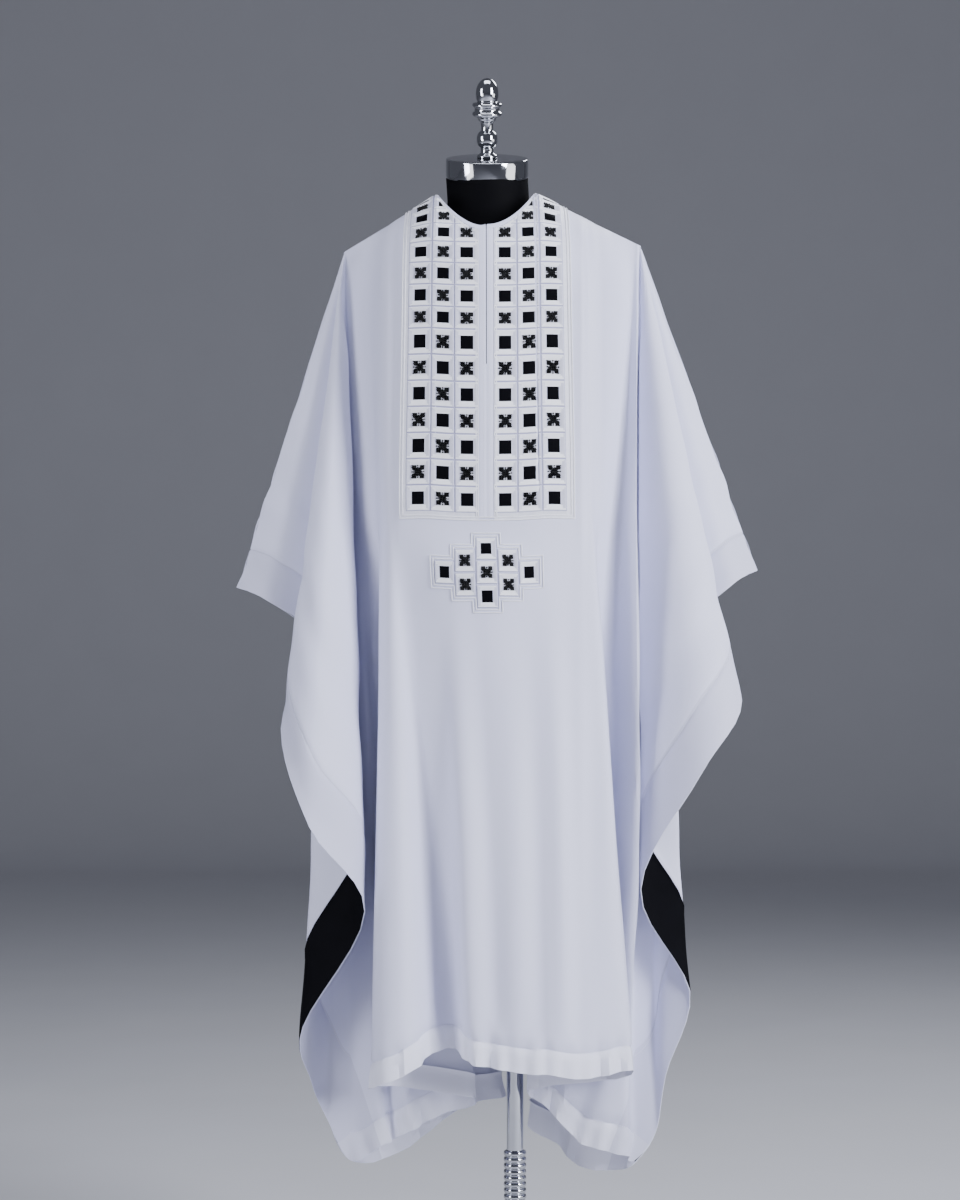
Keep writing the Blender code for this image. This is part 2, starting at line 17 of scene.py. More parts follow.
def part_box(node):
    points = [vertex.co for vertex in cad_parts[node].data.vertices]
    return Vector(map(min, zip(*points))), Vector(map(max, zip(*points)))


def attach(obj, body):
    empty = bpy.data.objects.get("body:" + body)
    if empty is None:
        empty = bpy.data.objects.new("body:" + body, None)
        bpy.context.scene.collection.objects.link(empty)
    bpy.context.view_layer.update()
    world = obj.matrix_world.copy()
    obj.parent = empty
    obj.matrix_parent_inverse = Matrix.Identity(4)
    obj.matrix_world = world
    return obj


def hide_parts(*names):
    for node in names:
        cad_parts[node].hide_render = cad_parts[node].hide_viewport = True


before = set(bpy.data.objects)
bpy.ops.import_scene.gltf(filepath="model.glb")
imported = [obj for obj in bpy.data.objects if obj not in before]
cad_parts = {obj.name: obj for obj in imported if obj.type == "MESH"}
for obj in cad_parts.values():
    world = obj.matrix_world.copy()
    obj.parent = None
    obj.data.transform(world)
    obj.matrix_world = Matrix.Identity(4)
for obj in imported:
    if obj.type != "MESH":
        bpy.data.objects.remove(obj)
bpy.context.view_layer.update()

CLOTH = 0.0010  # thickness of a panel
LINING = 0.0007  # thickness of a facing or a turned-up hem
GAP = 0.0003  # least distance between two pieces
SEAM_Y = 0.0021  # half the distance between the panels where they are joined

SHOULDER = {"left": (-0.255, 1.617), "right": (0.1875, 1.626)}  # x, z where the cloth leaves the form
NECK = {"left": (-0.117, 1.700), "right": (0.030, 1.702)}  # x, z of the neck hole's sides
NECK_MIDDLE = (NECK["left"][0] + NECK["right"][0]) / 2
NECK_HALF = (NECK["right"][0] - NECK["left"][0]) / 2

KNEE = 0.32  # where a rib turns from the chest to the hang, as a share of its length
KNEE_Z = 1.220
SHOULDER_DROP = 0.125  # height over which the cloth rounds the shoulder
ROUNDING_ENDS = 0.42  # share of the chest part of a rib over which it rounds the shoulder
ROUNDING_REACH = 0.075  # distance from the shoulder point at which the rounding is whole
SLIT_ENDS = 0.165  # share of a rib at which the neck slit ends
SLIT_HALF = 0.0009  # half the slit's width
OPENING_STARTS, OPENING_ENDS = 0.015, 0.17  # shares between which the side folds open out
SIDE_SWING_OUT, SIDE_SWING_IN = 0.33, 0.03  # sideways slopes of the closed side folds
SIDE_BULGE = 0.30  # slope by which the closed side folds bulge to the front or back
SEAM_STARTS = 0.040  # share of a rib from which the panels are a seam's distance apart
BAND_EDGE = 0.886  # 60 mm in from the arm opening's edge
HEM_EDGE = 0.970  # 40 mm above the hem
STEPS = 6  # ribs to a fold row
RING_STEP = 0.0018  # least distance between two rings, as a share of a rib
CUT_WIDTH, CUT_LENGTH = 1.51, 1.33  # a panel before it was sewn and hung, in metres
FRONT_MIDDLE = -0.043  # x of the front's middle at its knees
WAVE_HEIGHT, DRAG_HEIGHT = 0.0014, 0.0008  # of the small waves low down and across the chest
PUCKER_HEIGHT, CREASE_DEPTH, BAND_DEPTH = 0.0036, 0.0030, 0.0012  # along the stitched hem and facings

# Fold rows, from the left arm opening across to the right one. A row gives its name, the x where it
# starts on the shoulder fold (None at the shoulder point), its knee's x and y, and its foot's x, y and
# z. A straight row runs from the shoulder point to its foot, and gives only its name and its foot.
# Front rows lie at -y, back rows at +y.
FRONT_ROWS = (
    ("left_tip", -0.4155, -0.0002, 1.1130),
    ("left_cuff", -0.3700, -0.0280, 1.0950),
    ("left_tuck", -0.3026, -0.0330, 1.0355),
    ("left_ridge_outer", -0.3444, -0.1000, 0.9070),
    ("left_ridge_crest", -0.2984, -0.1650, 0.7666),
    ("left_ridge_inner", -0.2193, -0.1080, 0.6384),
    ("left_return", -0.3140, -0.0500, 0.4610),
    ("left_side_upper", -0.3028, -0.0280, 0.3768),
    ("left_side_lower", -0.2797, -SEAM_Y, 0.3146),
    ("left_corner", -0.2467, -SEAM_Y, 0.2554),
    ("left_under_outer", None, -0.2390, -0.0200, -0.2020, -0.0200, 0.2787),
    ("left_dent", -0.2480, -0.2310, -0.0310, -0.1848, -0.0050, 0.2863),
    ("left_under_middle", -0.2400, -0.2220, -0.0410, -0.1585, -0.0260, 0.3020),
    ("left_under_inner", -0.2320, -0.2130, -0.0510, -0.1125, -0.0100, 0.3240),
    ("left_valley", -0.2250, -0.2060, -0.0610, -0.0540, -0.0330, 0.3515),
    ("left_behind_edge", -0.2160, -0.2010, -0.0730, -0.1827, -0.0640, 0.3770),
    ("left_edge", -0.2050, -0.1965, -0.0890, -0.2100, -0.1250, 0.3833),
    ("left_lobe", -0.1850, -0.1870, -0.1080, -0.1611, -0.1580, 0.4070),
    ("left_notch", -0.1600, -0.1690, -0.1200, -0.1040, -0.0880, 0.4386),
    ("neck_left", NECK["left"][0], -0.1220, -0.1340, -0.0760, -0.1320, 0.4250),
    ("neck_turn_left", -0.1120, -0.1160, -0.1350, -0.0730, -0.1340, 0.4240),
    ("left_chest", -0.0860, -0.0850, -0.1400, -0.0560, -0.1450, 0.4190),
    ("placket_left", -0.0545, -0.0540, -0.1425, -0.0300, -0.1500, 0.4150),
    ("centre", NECK_MIDDLE, -0.0430, -0.1430, -0.0180, -0.1505, 0.4135),
    ("placket_right", -0.0325, -0.0320, -0.1425, -0.0060, -0.1510, 0.4115),
    ("right_chest", -0.0020, 0.0000, -0.1400, 0.0214, -0.1550, 0.4070),
    ("neck_turn_right", 0.0250, 0.0305, -0.1370, 0.0440, -0.1600, 0.4090),
    ("neck_right", NECK["right"][0], 0.0360, -0.1360, 0.0488, -0.1610, 0.4093),
    ("border_right", 0.0750, 0.0859, -0.1290, 0.0796, -0.1450, 0.3996),
    ("right_hang", 0.0900, 0.0990, -0.1260, 0.1167, -0.1320, 0.4000),
    ("right_edge", 0.1060, 0.1100, -0.1210, 0.1682, -0.1150, 0.4080),
    ("right_behind_edge", 0.1230, 0.1160, -0.1060, 0.1517, -0.0640, 0.3876),
    ("right_valley", 0.1400, 0.1240, -0.0950, 0.0202, -0.0480, 0.3680),
    ("right_under_inner", 0.1550, 0.1340, -0.0830, 0.0461, -0.0230, 0.3394),
    ("right_under_middle", 0.1700, 0.1460, -0.0720, 0.0940, -0.0180, 0.2883),
    ("right_under_outer", 0.1790, 0.1600, -0.0750, 0.1278, -0.0330, 0.2756),
    ("right_pillar", 0.1840, 0.1770, -0.1040, 0.1600, -0.0230, 0.2680),
    ("right_pillar_back", None, 0.1680, -0.0450, 0.1700, -0.0080, 0.2610),
    ("right_corner", 0.1791, -SEAM_Y, 0.2554),
    ("right_side_lower", 0.2099, -SEAM_Y, 0.2959),
    ("right_side_upper", 0.2238, -0.0200, 0.3857),
    ("right_return", 0.2576, -0.0420, 0.5137),
    ("right_ridge_inner", 0.1840, -0.0600, 0.6668),
    ("right_ridge_crest", 0.2680, -0.1320, 0.8400),
    ("right_ridge_outer", 0.3313, -0.1000, 0.9483),
    ("right_tuck", 0.2705, -0.0350, 1.0534),
    ("right_cuff", 0.3230, -0.0260, 1.1180),
    ("right_tip", 0.3615, -0.0002, 1.1385),
)

BACK_ROWS = (
    ("left_tip", -0.4155, 0.0002, 1.1130),
    ("left_cuff", -0.3680, 0.0320, 1.0920),
    ("left_tuck", -0.3000, 0.0360, 1.0300),
    ("left_ridge_outer", -0.3350, 0.1000, 0.9250),
    ("left_ridge_crest", -0.2850, 0.1550, 0.7900),
    ("left_ridge_inner", -0.2200, 0.1050, 0.6500),
    ("left_return", -0.3000, 0.0500, 0.4800),
    ("left_side_upper", -0.2900, 0.0270, 0.3740),
    ("left_side_lower", -0.2797, SEAM_Y, 0.3146),
    ("left_corner", -0.2467, SEAM_Y, 0.2540),
    ("left_under_middle", None, -0.2340, 0.0320, -0.1740, 0.0400, 0.2600),
    ("left_under_inner", -0.2350, -0.2210, 0.0500, -0.0803, 0.0480, 0.3270),
    ("left_valley", -0.2200, -0.2120, 0.0660, -0.0170, 0.0640, 0.3433),
    ("left_behind_edge", -0.2000, -0.2040, 0.0820, -0.1750, 0.0920, 0.3650),
    ("left_edge", -0.1800, -0.1950, 0.1020, -0.2000, 0.1300, 0.3750),
    ("left_fold", -0.1500, -0.1620, 0.1200, -0.1280, 0.1680, 0.3760),
    ("neck_left", NECK["left"][0], -0.1180, 0.1300, -0.0760, 0.1300, 0.3950),
    ("centre", NECK_MIDDLE, -0.0430, 0.1350, -0.0150, 0.1600, 0.3840),
    ("neck_right", NECK["right"][0], 0.0320, 0.1300, 0.0450, 0.1320, 0.3950),
    ("right_fold", 0.0800, 0.0820, 0.1220, 0.1000, 0.1650, 0.3800),
    ("right_edge", 0.1250, 0.1240, 0.1080, 0.1650, 0.1300, 0.3850),
    ("right_behind_edge", 0.1450, 0.1380, 0.0880, 0.1500, 0.0900, 0.3700),
    ("right_valley", 0.1600, 0.1500, 0.0700, 0.0270, 0.0620, 0.3016),
    ("right_under_inner", 0.1750, 0.1620, 0.0520, 0.0644, 0.0530, 0.2705),
    ("right_under_middle", None, 0.1740, 0.0350, 0.0962, 0.0470, 0.2380),
    ("right_under_outer", None, 0.1810, 0.0200, 0.1514, 0.0280, 0.2351),
    ("right_corner", 0.1791, SEAM_Y, 0.2500),
    ("right_side_lower", 0.2099, SEAM_Y, 0.2959),
    ("right_side_upper", 0.2180, 0.0260, 0.3857),
    ("right_return", 0.2450, 0.0450, 0.5250),
    ("right_ridge_inner", 0.1880, 0.0700, 0.6750),
    ("right_ridge_crest", 0.2550, 0.1350, 0.8500),
    ("right_ridge_outer", 0.3150, 0.1000, 0.9600),
    ("right_tuck", 0.2650, 0.0380, 1.0500),
    ("right_cuff", 0.3200, 0.0280, 1.1160),
    ("right_tip", 0.3615, 0.0002, 1.1385),
)

# Soft folds of the front: x at the knee, sideways lean down to the hem, half width and height
FRONT_FOLDS = (
    (-0.118, 0.030, 0.016, -0.0070),
    (-0.092, 0.046, 0.015, 0.0066),
    (-0.062, 0.050, 0.016, -0.0058),
    (-0.020, 0.040, 0.020, 0.0050),
    (0.018, 0.030, 0.016, -0.0046),
    (0.050, 0.036, 0.014, 0.0068),
    (0.078, 0.044, 0.012, -0.0050),
)
# Short folds that drop from the shoulders beside the chest block: x, half width and height
SHOULDER_DRAGS = (
    (-0.196, 0.009, 0.0030),
    (-0.180, 0.007, -0.0036),
    (0.096, 0.006, 0.0030),
    (0.107, 0.006, -0.0042),
    (0.121, 0.008, 0.0034),
)
BOWS = {"right_pillar": (0.012, -0.022)}  # x, y by which a rib bows out between its knee and its foot
NECK_DROPS = {-1: 0.087, 1: 0.062}  # share of a rib that the neck hole takes at its middle
# Where each panel is smoothed across its ribs: first and last row, ribs beyond them, reach in metres
SMOOTHED = {-1: ("left_notch", "right_hang", 2, 0.013), 1: ("left_fold", "right_fold", 4, 0.020)}


def smooth_step(low, high, value):
    share = np.clip((value - low) / (high - low), 0.0, 1.0)
    return share * share * (3 - 2 * share)


def bump_at(middle, reach, value):
    """A smooth hump, 1 at the middle and 0 beyond the reach."""
    return np.exp(-(((value - middle) / reach) ** 2))


def spline(before, start, end, after, share):
    """The point at a share of the way from start to end, on a smooth curve through all four."""
    return 0.5 * (
        2 * start
        + (end - before) * share
        + (2 * before - 5 * start + 4 * end - after) * share**2
        + (3 * start - before - 3 * end + after) * share**3
    )


def run_along(line):
    """The distance along a line of points, at each of them."""
    return np.concatenate([[0], np.cumsum(np.linalg.norm(np.diff(line, axis=0), axis=1))])


def unit(vectors):
    return vectors / np.maximum(np.linalg.norm(vectors, axis=-1, keepdims=True), 1e-12)


def nearest_y(share):
    """The least distance between a panel and the plane y = 0, at shares of a rib."""
    return GAP / 2 + (SEAM_Y - GAP / 2) * np.minimum(1.0, share / SEAM_STARTS)


# ---------------------------------------------------------------- the hang of the panels


def shoulder_height(x):
    side = "left" if x < NECK_MIDDLE else "right"
    (outer_x, outer_z), (inner_x, inner_z) = SHOULDER[side], NECK[side]
    return outer_z + (inner_z - outer_z) * min(1.0, (x - outer_x) / (inner_x - outer_x))


def shoulder_point(x):
    side = "left" if x < NECK_MIDDLE else "right"
    return Vector((SHOULDER[side][0], 0, SHOULDER[side][1]))


def row_path(row, share):
    """The point on a fold row at a share of its length from the shoulder fold."""
    name, head_x, knee_x, knee_y, *foot = row
    foot = Vector(foot)
    tip = shoulder_point(foot.x if knee_x is None else knee_x)
    if knee_x is None:
        return tip.lerp(foot, share)
    head = tip if head_x is None else Vector((head_x, 0, shoulder_height(head_x)))
    knee = Vector((knee_x, knee_y, KNEE_Z))
    if share > KNEE:
        along = (share - KNEE) / (1 - KNEE)
        bow = Vector((*BOWS.get(name, (0, 0)), 0)) * math.sin(math.pi * along)
        return knee.lerp(foot, along) + bow
    along = share / KNEE
    straight = head.lerp(knee, along)
    inwards = float(smooth_step(0.0, ROUNDING_REACH, abs(head.x - tip.x)))
    turn = min(1.0, along / ROUNDING_ENDS) * math.pi / 2
    level = head.z - SHOULDER_DROP * (1 - math.cos(turn))
    if along > ROUNDING_ENDS:
        level += (KNEE_Z - level) * (along - ROUNDING_ENDS) / (1 - ROUNDING_ENDS)
    rounded = Vector((straight.x, knee.y * math.sin(turn), level))
    return straight.lerp(rounded, inwards)


def closed_path(row, rank, share):
    """The path of a side row near the shoulder point, where its fold hasn't opened yet."""
    foot = Vector(row[4:])
    tip = shoulder_point(foot.x)
    side = math.copysign(1, foot.x - NECK_MIDDLE)
    facing = math.copysign(1, foot.y)
    swing = side * (SIDE_SWING_OUT * rank - SIDE_SWING_IN * (1 - rank))
    aim = Vector((swing, facing * SIDE_BULGE * math.sin(math.pi * rank), -1))
    return tip + aim.normalized() * (foot - tip).length * share


def ring_shares():
    """Shares of a rib where the panel has points: close together beside the stitch lines."""
    stops = [0.0, SLIT_ENDS, KNEE, 0.8825, BAND_EDGE, 0.8895, 0.9660, HEM_EDGE, 0.9740, 1.0]
    stops += list(np.linspace(0.0, 0.868, 54)) + [0.902, 0.915, 0.928, 0.941, 0.954]
    stops += [0.981, 0.988, 0.9945]
    kept = []
    for stop in sorted(stops):
        if not kept or stop - kept[-1] > RING_STEP:
            kept.append(float(stop))
    return kept


class Panel:
    """A panel's middle surface as arrays: points and normals by rib and ring, and the flat cut."""

    def __init__(self, rows, facing):
        rows = [row if len(row) > 4 else (row[0], None, None, None, *row[1:]) for row in rows]
        self.facing, self.rows = facing, rows
        self.names = {row[0]: i * STEPS for i, row in enumerate(rows)}
        self.rings = ring_shares()
        straight = [i for i, row in enumerate(rows) if row[2] is None]
        left = [i for i in straight if rows[i][4] < NECK_MIDDLE]
        right = [i for i in straight if rows[i][4] > NECK_MIDDLE]
        self.ranks = {i: 1 - (n + 1) / len(left) for n, i in enumerate(left)}
        self.ranks.update({i: (n + 1) / len(right) for n, i in enumerate(right)})
        self.ranks[0] = self.ranks[len(rows) - 1] = 1.0
        self.row_point = functools.lru_cache(maxsize=None)(self._row_point)
        ribs, self.cuts = [], []
        for i in range(len(rows)):
            for step in range(STEPS if i < len(rows) - 1 else 1):
                across = step / STEPS
                head = self._between(i, across, 0.0)
                from_middle = abs(head[0] - NECK_MIDDLE) / NECK_HALF
                cut = NECK_DROPS[facing] * math.sqrt(1 - from_middle**2) if from_middle < 1 else 0.0
                shares = [ring + cut * max(0.0, 1 - ring / KNEE) for ring in self.rings]
                ribs.append([self._between(i, across, share) for share in shares])
                self.cuts.append(cut)
        self.points = np.array(ribs)
        self._soften()
        self._lay_flat()
        self.normals = self._normals()
        self.points = self.points + self.normals * self.life()[:, :, None]
        self._keep_apart()
        self.normals = self._normals()

    def _row_point(self, i, share):
        row = self.rows[i]
        point = row_path(row, share)
        if self.ranks.get(i, 1.0) < 1 and 0 < share < OPENING_ENDS:
            opened = float(smooth_step(OPENING_STARTS, OPENING_ENDS, share))
            point = closed_path(row, self.ranks[i], share).lerp(point, opened)
        return point

    def _between(self, i, across, share):
        last = len(self.rows) - 1
        start = self.row_point(i, share)
        on_fold = not across and i in (0, last)
        nearest = nearest_y(share)
        if not across:
            point, limit = start.copy(), GAP / 2 if on_fold else nearest
        else:
            end = self.row_point(i + 1, share)
            before, after = (self.row_point(n, share) for n in (max(i - 1, 0), min(i + 2, last)))
            point = spline(before, start, end, after, across)
            limit = max(nearest, min(start.y * self.facing, end.y * self.facing))
        point.y = max(point.y * self.facing, limit) * self.facing
        return tuple(point)

    def _soften(self):
        """Rounds the turn at the knee of every rib, and smooths the middle of the panel across its ribs."""
        for _ in range(5):
            inner = self.points[:, 1:-1]
            mean = (self.points[:, :-2] + self.points[:, 2:]) / 2
            rings = np.array(self.rings[1:-1])
            weight = 0.5 * smooth_step(0.10, 0.20, rings) * (1 - smooth_step(0.62, 0.80, rings))
            self.points[:, 1:-1] = inner + (mean - inner) * weight[None, :, None]
        first, last, beyond, reach = SMOOTHED[self.facing]
        first, last = self.names[first] - beyond, self.names[last] + beyond
        for j, share in enumerate(self.rings):
            if share > 0.25:
                line = self.points[first : last + 1, j]
                run = run_along(line)
                apart = run[:, None] - run[None, :]
                near = np.exp(-(apart**2) / (2 * reach**2)) * np.gradient(run)[None, :]
                smooth = (near / near.sum(axis=1, keepdims=True)) @ line
                inside = smooth_step(0, 0.035, np.minimum(run, run[-1] - run))
                share_in = inside * smooth_step(0.25, 0.34, share)
                self.points[first : last + 1, j] = line + (smooth - line) * share_in[:, None]

    def _lay_flat(self):
        """The flat cut's coordinates of every point, in metres, from the rib ends' own lengths."""
        run = run_along(self.points[:, -1])
        first, last = self.names["left_corner"], self.names["right_corner"]
        self.width, self.length = run[last] - run[first], (run[first] + run[-1] - run[last]) / 2
        u = np.clip(run - run[first], 0, self.width) - self.width / 2
        v = np.interp(run, [0, run[first], run[last], run[-1]], [0, self.length, self.length, 0])
        head = self.points[:, 0, 0] - NECK_MIDDLE
        rings = np.array(self.rings)
        share = rings[None, :] + np.array(self.cuts)[:, None] * np.maximum(0, 1 - rings / KNEE)[None, :]
        self.u = head[:, None] * (1 - share) + u[:, None] * share * (CUT_WIDTH / self.width)
        self.v = v[:, None] * share * (CUT_LENGTH / self.length)

    def life(self):
        """How far the cloth stands off its fold rows: waves, folds and the stitched hem's puckers. The
        waves are sines of the flat cut's coordinates, with their frequencies in radians per metre."""
        rings = np.array(self.rings)[None, :]
        u, v, side = self.u, self.v, 0.7 * self.facing
        low = smooth_step(0.30, 0.75, rings)
        waves = np.sin(u * 46 + 1.3 * np.sin(v * 3.1 + side)) + 0.7 * np.sin(u * 87 + v * 2.3 + 2 * side)
        waves = WAVE_HEIGHT * low * waves
        if self.facing < 0:
            waves = waves + self._front_folds(rings)
        drag = DRAG_HEIGHT * np.sin(u * 31 - v * 17 + side) * smooth_step(0.06, 0.2, rings) * (1 - low)
        ribs = np.arange(len(self.points))[:, None]
        left, right = self.names["left_corner"], self.names["right_corner"]
        on_hem = smooth_step(left - 3, left + 3, ribs) * (1 - smooth_step(right - 3, right + 3, ribs))
        pucker = np.sin(u * 118 + 1.9 * np.sin(u * 23)) + 0.6 * np.sin(u * 201 + 2.2 * side)
        below = 0.6 + 0.4 * smooth_step(HEM_EDGE, 1.0, rings)
        pucker *= smooth_step(HEM_EDGE - 0.022, HEM_EDGE, rings) * below
        crease = -CREASE_DEPTH * bump_at(HEM_EDGE, 0.0030, rings) * on_hem * (1 + 0.35 * np.sin(u * 160))
        band = -BAND_DEPTH * bump_at(BAND_EDGE, 0.0024, rings) * (1 - on_hem)
        return waves + drag + PUCKER_HEIGHT * pucker * on_hem + crease + band

    def _front_folds(self, rings):
        """Upright folds down the front's middle, its swell below the chest, and the shoulders' drags."""
        x = self.points[:, :, 0]
        inside = smooth_step(-0.165, -0.120, x) * (1 - smooth_step(0.060, 0.100, x))
        grow = smooth_step(0.36, 0.70, rings) * (1 - 0.5 * smooth_step(0.90, 1.0, rings))
        folds = sum(
            height * bump_at(middle + lean * (rings - KNEE), reach, x)
            for middle, lean, reach, height in FRONT_FOLDS
        )
        swell = 0.0080 * bump_at(FRONT_MIDDLE, 0.075, x) * bump_at(0.40, 0.035, rings)
        hollow = -0.0050 * bump_at(FRONT_MIDDLE, 0.060, x) * bump_at(0.345, 0.012, rings)
        below_shoulder = smooth_step(0.02, 0.09, rings) * (1 - smooth_step(0.22, 0.42, rings))
        drags = sum(height * bump_at(middle, reach, x) for middle, reach, height in SHOULDER_DRAGS)
        return inside * (grow * folds + swell + hollow) + below_shoulder * drags

    def _keep_apart(self):
        nearest = np.repeat(nearest_y(np.array(self.rings)[None, :]), len(self.points), axis=0)
        nearest[[0, -1]] = GAP / 2
        self.points[:, :, 1] = np.maximum(self.points[:, :, 1] * self.facing, nearest) * self.facing

    def _normals(self):
        shape = self.points.shape
        points = self.points.reshape(-1, 3)
        _, merged = np.unique(np.round(points, 6), axis=0, return_inverse=True)
        merged = merged.reshape(-1)
        index = np.arange(len(points)).reshape(shape[:2])
        a, b, c, d = index[:-1, :-1], index[:-1, 1:], index[1:, 1:], index[1:, :-1]
        sums = np.zeros((merged.max() + 1, 3))
        for x, y, z in ((a, b, c), (a, c, d)):
            x, y, z = x.ravel(), y.ravel(), z.ravel()
            normal = np.cross(points[y] - points[x], points[z] - points[x]) * -self.facing
            for corner in (x, y, z):
                np.add.at(sums, merged[corner], normal)
        normals = sums[merged]
        normals[np.abs(points[:, 1]) < GAP, 1] = 0
        return unit(normals).reshape(shape)

    def ring(self, share):
        """The ring's index, as a fraction, at a share of a rib."""
        return float(np.interp(share, self.rings, range(len(self.rings))))

    def at(self, rib, ring):
        """Points, normals and flat coordinates at fractions of ribs and rings."""
        rib, ring = np.broadcast_arrays(np.asarray(rib, float), np.asarray(ring, float))
        i = np.clip(rib.astype(int), 0, len(self.points) - 2)
        j = np.clip(ring.astype(int), 0, len(self.rings) - 2)
        s, t = (rib - i)[..., None], (ring - j)[..., None]

        def blend(values):
            upper = values[i, j] * (1 - s) + values[i + 1, j] * s
            lower = values[i, j + 1] * (1 - s) + values[i + 1, j + 1] * s
            return upper * (1 - t) + lower * t

        flat = blend(np.stack([self.u, self.v], axis=-1))
        return blend(self.points), unit(blend(self.normals)), flat


# ---------------------------------------------------------------- mesh makers


def add_piece(name, points, faces, finishes, uv=None, slots=None, sharp=40):
    mesh = bpy.data.meshes.new(name)
    mesh.from_pydata([tuple(map(float, point)) for point in points], [], faces)
    if uv is not None:
        layer = mesh.uv_layers.new(name="cut")
        corners = np.zeros(len(mesh.loops), np.int32)
        mesh.loops.foreach_get("vertex_index", corners)
        layer.data.foreach_set("uv", np.asarray(uv, np.float32)[corners].ravel())
    for finish in finishes if isinstance(finishes, (list, tuple)) else [finishes]:
        mesh.materials.append(finish)
    if slots is not None:
        mesh.polygons.foreach_set("material_index", np.asarray(slots, np.int32))
    mesh.validate()
    mesh.shade_smooth()
    mesh.set_sharp_from_angle(angle=math.radians(sharp))
    piece = bpy.data.objects.new(name, mesh)
    bpy.context.collection.objects.link(piece)
    return piece


def shell(name, outer, inner, finishes, facing, uv=None, keep=None, slots=None, marks=None, sharp=40):
    """A closed wall between two grids of points. keep says which cells of the grid are there, slots
    gives each cell's finish, and marks gives each cell's value of the attribute "lay", which sets both how
    the satin's threads lie and how much painted shade they get."""
    count = outer.shape[0] * outer.shape[1]
    index = np.arange(count).reshape(outer.shape[:2])
    both = np.concatenate([outer.reshape(-1, 3), inner.reshape(-1, 3)], axis=1)
    _, first, merged = np.unique(np.round(both, 6), axis=0, return_index=True, return_inverse=True)
    merged = merged.reshape(-1)
    top, low = outer.reshape(-1, 3)[first], inner.reshape(-1, 3)[first]
    faces, kinds, lay_shades = [], [], []
    for i in range(outer.shape[0] - 1):
        for j in range(outer.shape[1] - 1):
            if keep is not None and not keep[i, j]:
                continue
            loop = []
            for corner in (index[i, j], index[i, j + 1], index[i + 1, j + 1], index[i + 1, j]):
                if merged[corner] not in loop:
                    loop.append(int(merged[corner]))
            if len(loop) > 2:
                faces.append(tuple(loop if facing < 0 else loop[::-1]))
                kinds.append(0 if slots is None else int(slots[i, j]))
                lay_shades.append(0.0 if marks is None else float(marks[i, j]))
    total = len(first)
    edges = {(a, b) for face in faces for a, b in zip(face, face[1:] + face[:1])}
    rims = [(b, a, a + total, b + total) for a, b in edges if (b, a) not in edges]
    backs = [tuple(corner + total for corner in face[::-1]) for face in faces]
    used = sorted({corner for face in faces for corner in face})
    renumber = {old: new for new, old in enumerate(used)}
    renumber.update({old + total: new + len(used) for new, old in enumerate(used)})
    whole = [tuple(renumber[corner] for corner in face) for face in faces + backs + sorted(rims)]
    points = np.concatenate([top[used], low[used]])
    flat = None if uv is None else np.concatenate([uv.reshape(-1, 2)[first][used]] * 2)
    last = kinds + kinds + [0] * len(rims)
    piece = add_piece(name, points, whole, finishes, flat, last, sharp)
    if marks is not None:
        # the thread's lie, which also sets how much painted shade the satin gets
        layer = piece.data.attributes.new("lay", "FLOAT", "FACE")
        layer.data.foreach_set("value", np.array(lay_shades + lay_shades + [0.0] * len(rims), np.float32))
    return piece


def stops_between(ends):
    """Both ends and every whole number between them."""
    whole = range(math.ceil(ends[0]), math.floor(ends[1]) + 1)
    return sorted({float(stop) for stop in (*ends, *whole)})


def wall(name, panel, ribs, rings, low, high, finish, slit=False):
    """A closed wall over part of a panel, from low to high above its middle surface."""
    rib_stops, ring_stops = stops_between(ribs), stops_between(rings)
    middle, slit_ring = panel.names["centre"], panel.ring(SLIT_ENDS)
    keep, shift = None, np.zeros((len(rib_stops), len(ring_stops)))
    if slit and middle in rib_stops:
        place = rib_stops.index(middle)
        rib_stops.insert(place, middle)
        shift = np.zeros((len(rib_stops), len(ring_stops)))
        above = np.array(ring_stops) < slit_ring - 1e-6
        shift[place, above], shift[place + 1, above] = -SLIT_HALF, SLIT_HALF
        keep = np.ones((len(rib_stops) - 1, len(ring_stops) - 1), bool)
        keep[place, above[:-1]] = False
    grid = np.meshgrid(rib_stops, ring_stops, indexing="ij")
    points, normals, flat = panel.at(*grid)
    points = points + np.stack([shift, shift * 0, shift * 0], axis=-1)
    return shell(name, points + normals * high, points + normals * low, finish, panel.facing, flat, keep)


def tube(lines, radius, sides):
    """Points, faces and flat coordinates of round cords that follow lines of points. A line that ends
    where it starts is closed."""
    points, faces, flat = [], [], []
    for line in lines:
        line = np.asarray(line, float)
        closed = np.linalg.norm(line[0] - line[-1]) < 1e-6
        if closed:
            line = line[:-1]
            ahead, behind = np.roll(line, -1, axis=0), np.roll(line, 1, axis=0)
        else:
            ahead, behind = np.concatenate([line[1:], line[-1:]]), np.concatenate([line[:1], line[:-1]])
        tangent = unit(ahead - behind)
        out = np.tile(np.array([0.0, -1.0, 0.15]), (len(line), 1))
        across = unit(np.cross(tangent, out))
        out = np.cross(across, tangent)
        start = len(points)
        lengths = run_along(line)
        for i in range(len(line)):
            for k in range(sides):
                turn = 2 * math.pi * k / sides
                points.append(line[i] + radius * (math.cos(turn) * across[i] + math.sin(turn) * out[i]))
                flat.append((k / sides, lengths[i]))
        rows = len(line) if closed else len(line) - 1
        for i in range(rows):
            here, there = start + i * sides, start + (i + 1) % len(line) * sides
            for k in range(sides):
                m = (k + 1) % sides
                faces.append((here + k, there + k, there + m, here + m))
        if not closed:
            faces.append(tuple(start + k for k in range(sides)))
            faces.append(tuple(start + (len(line) - 1) * sides + k for k in reversed(range(sides))))
    return points, faces, flat


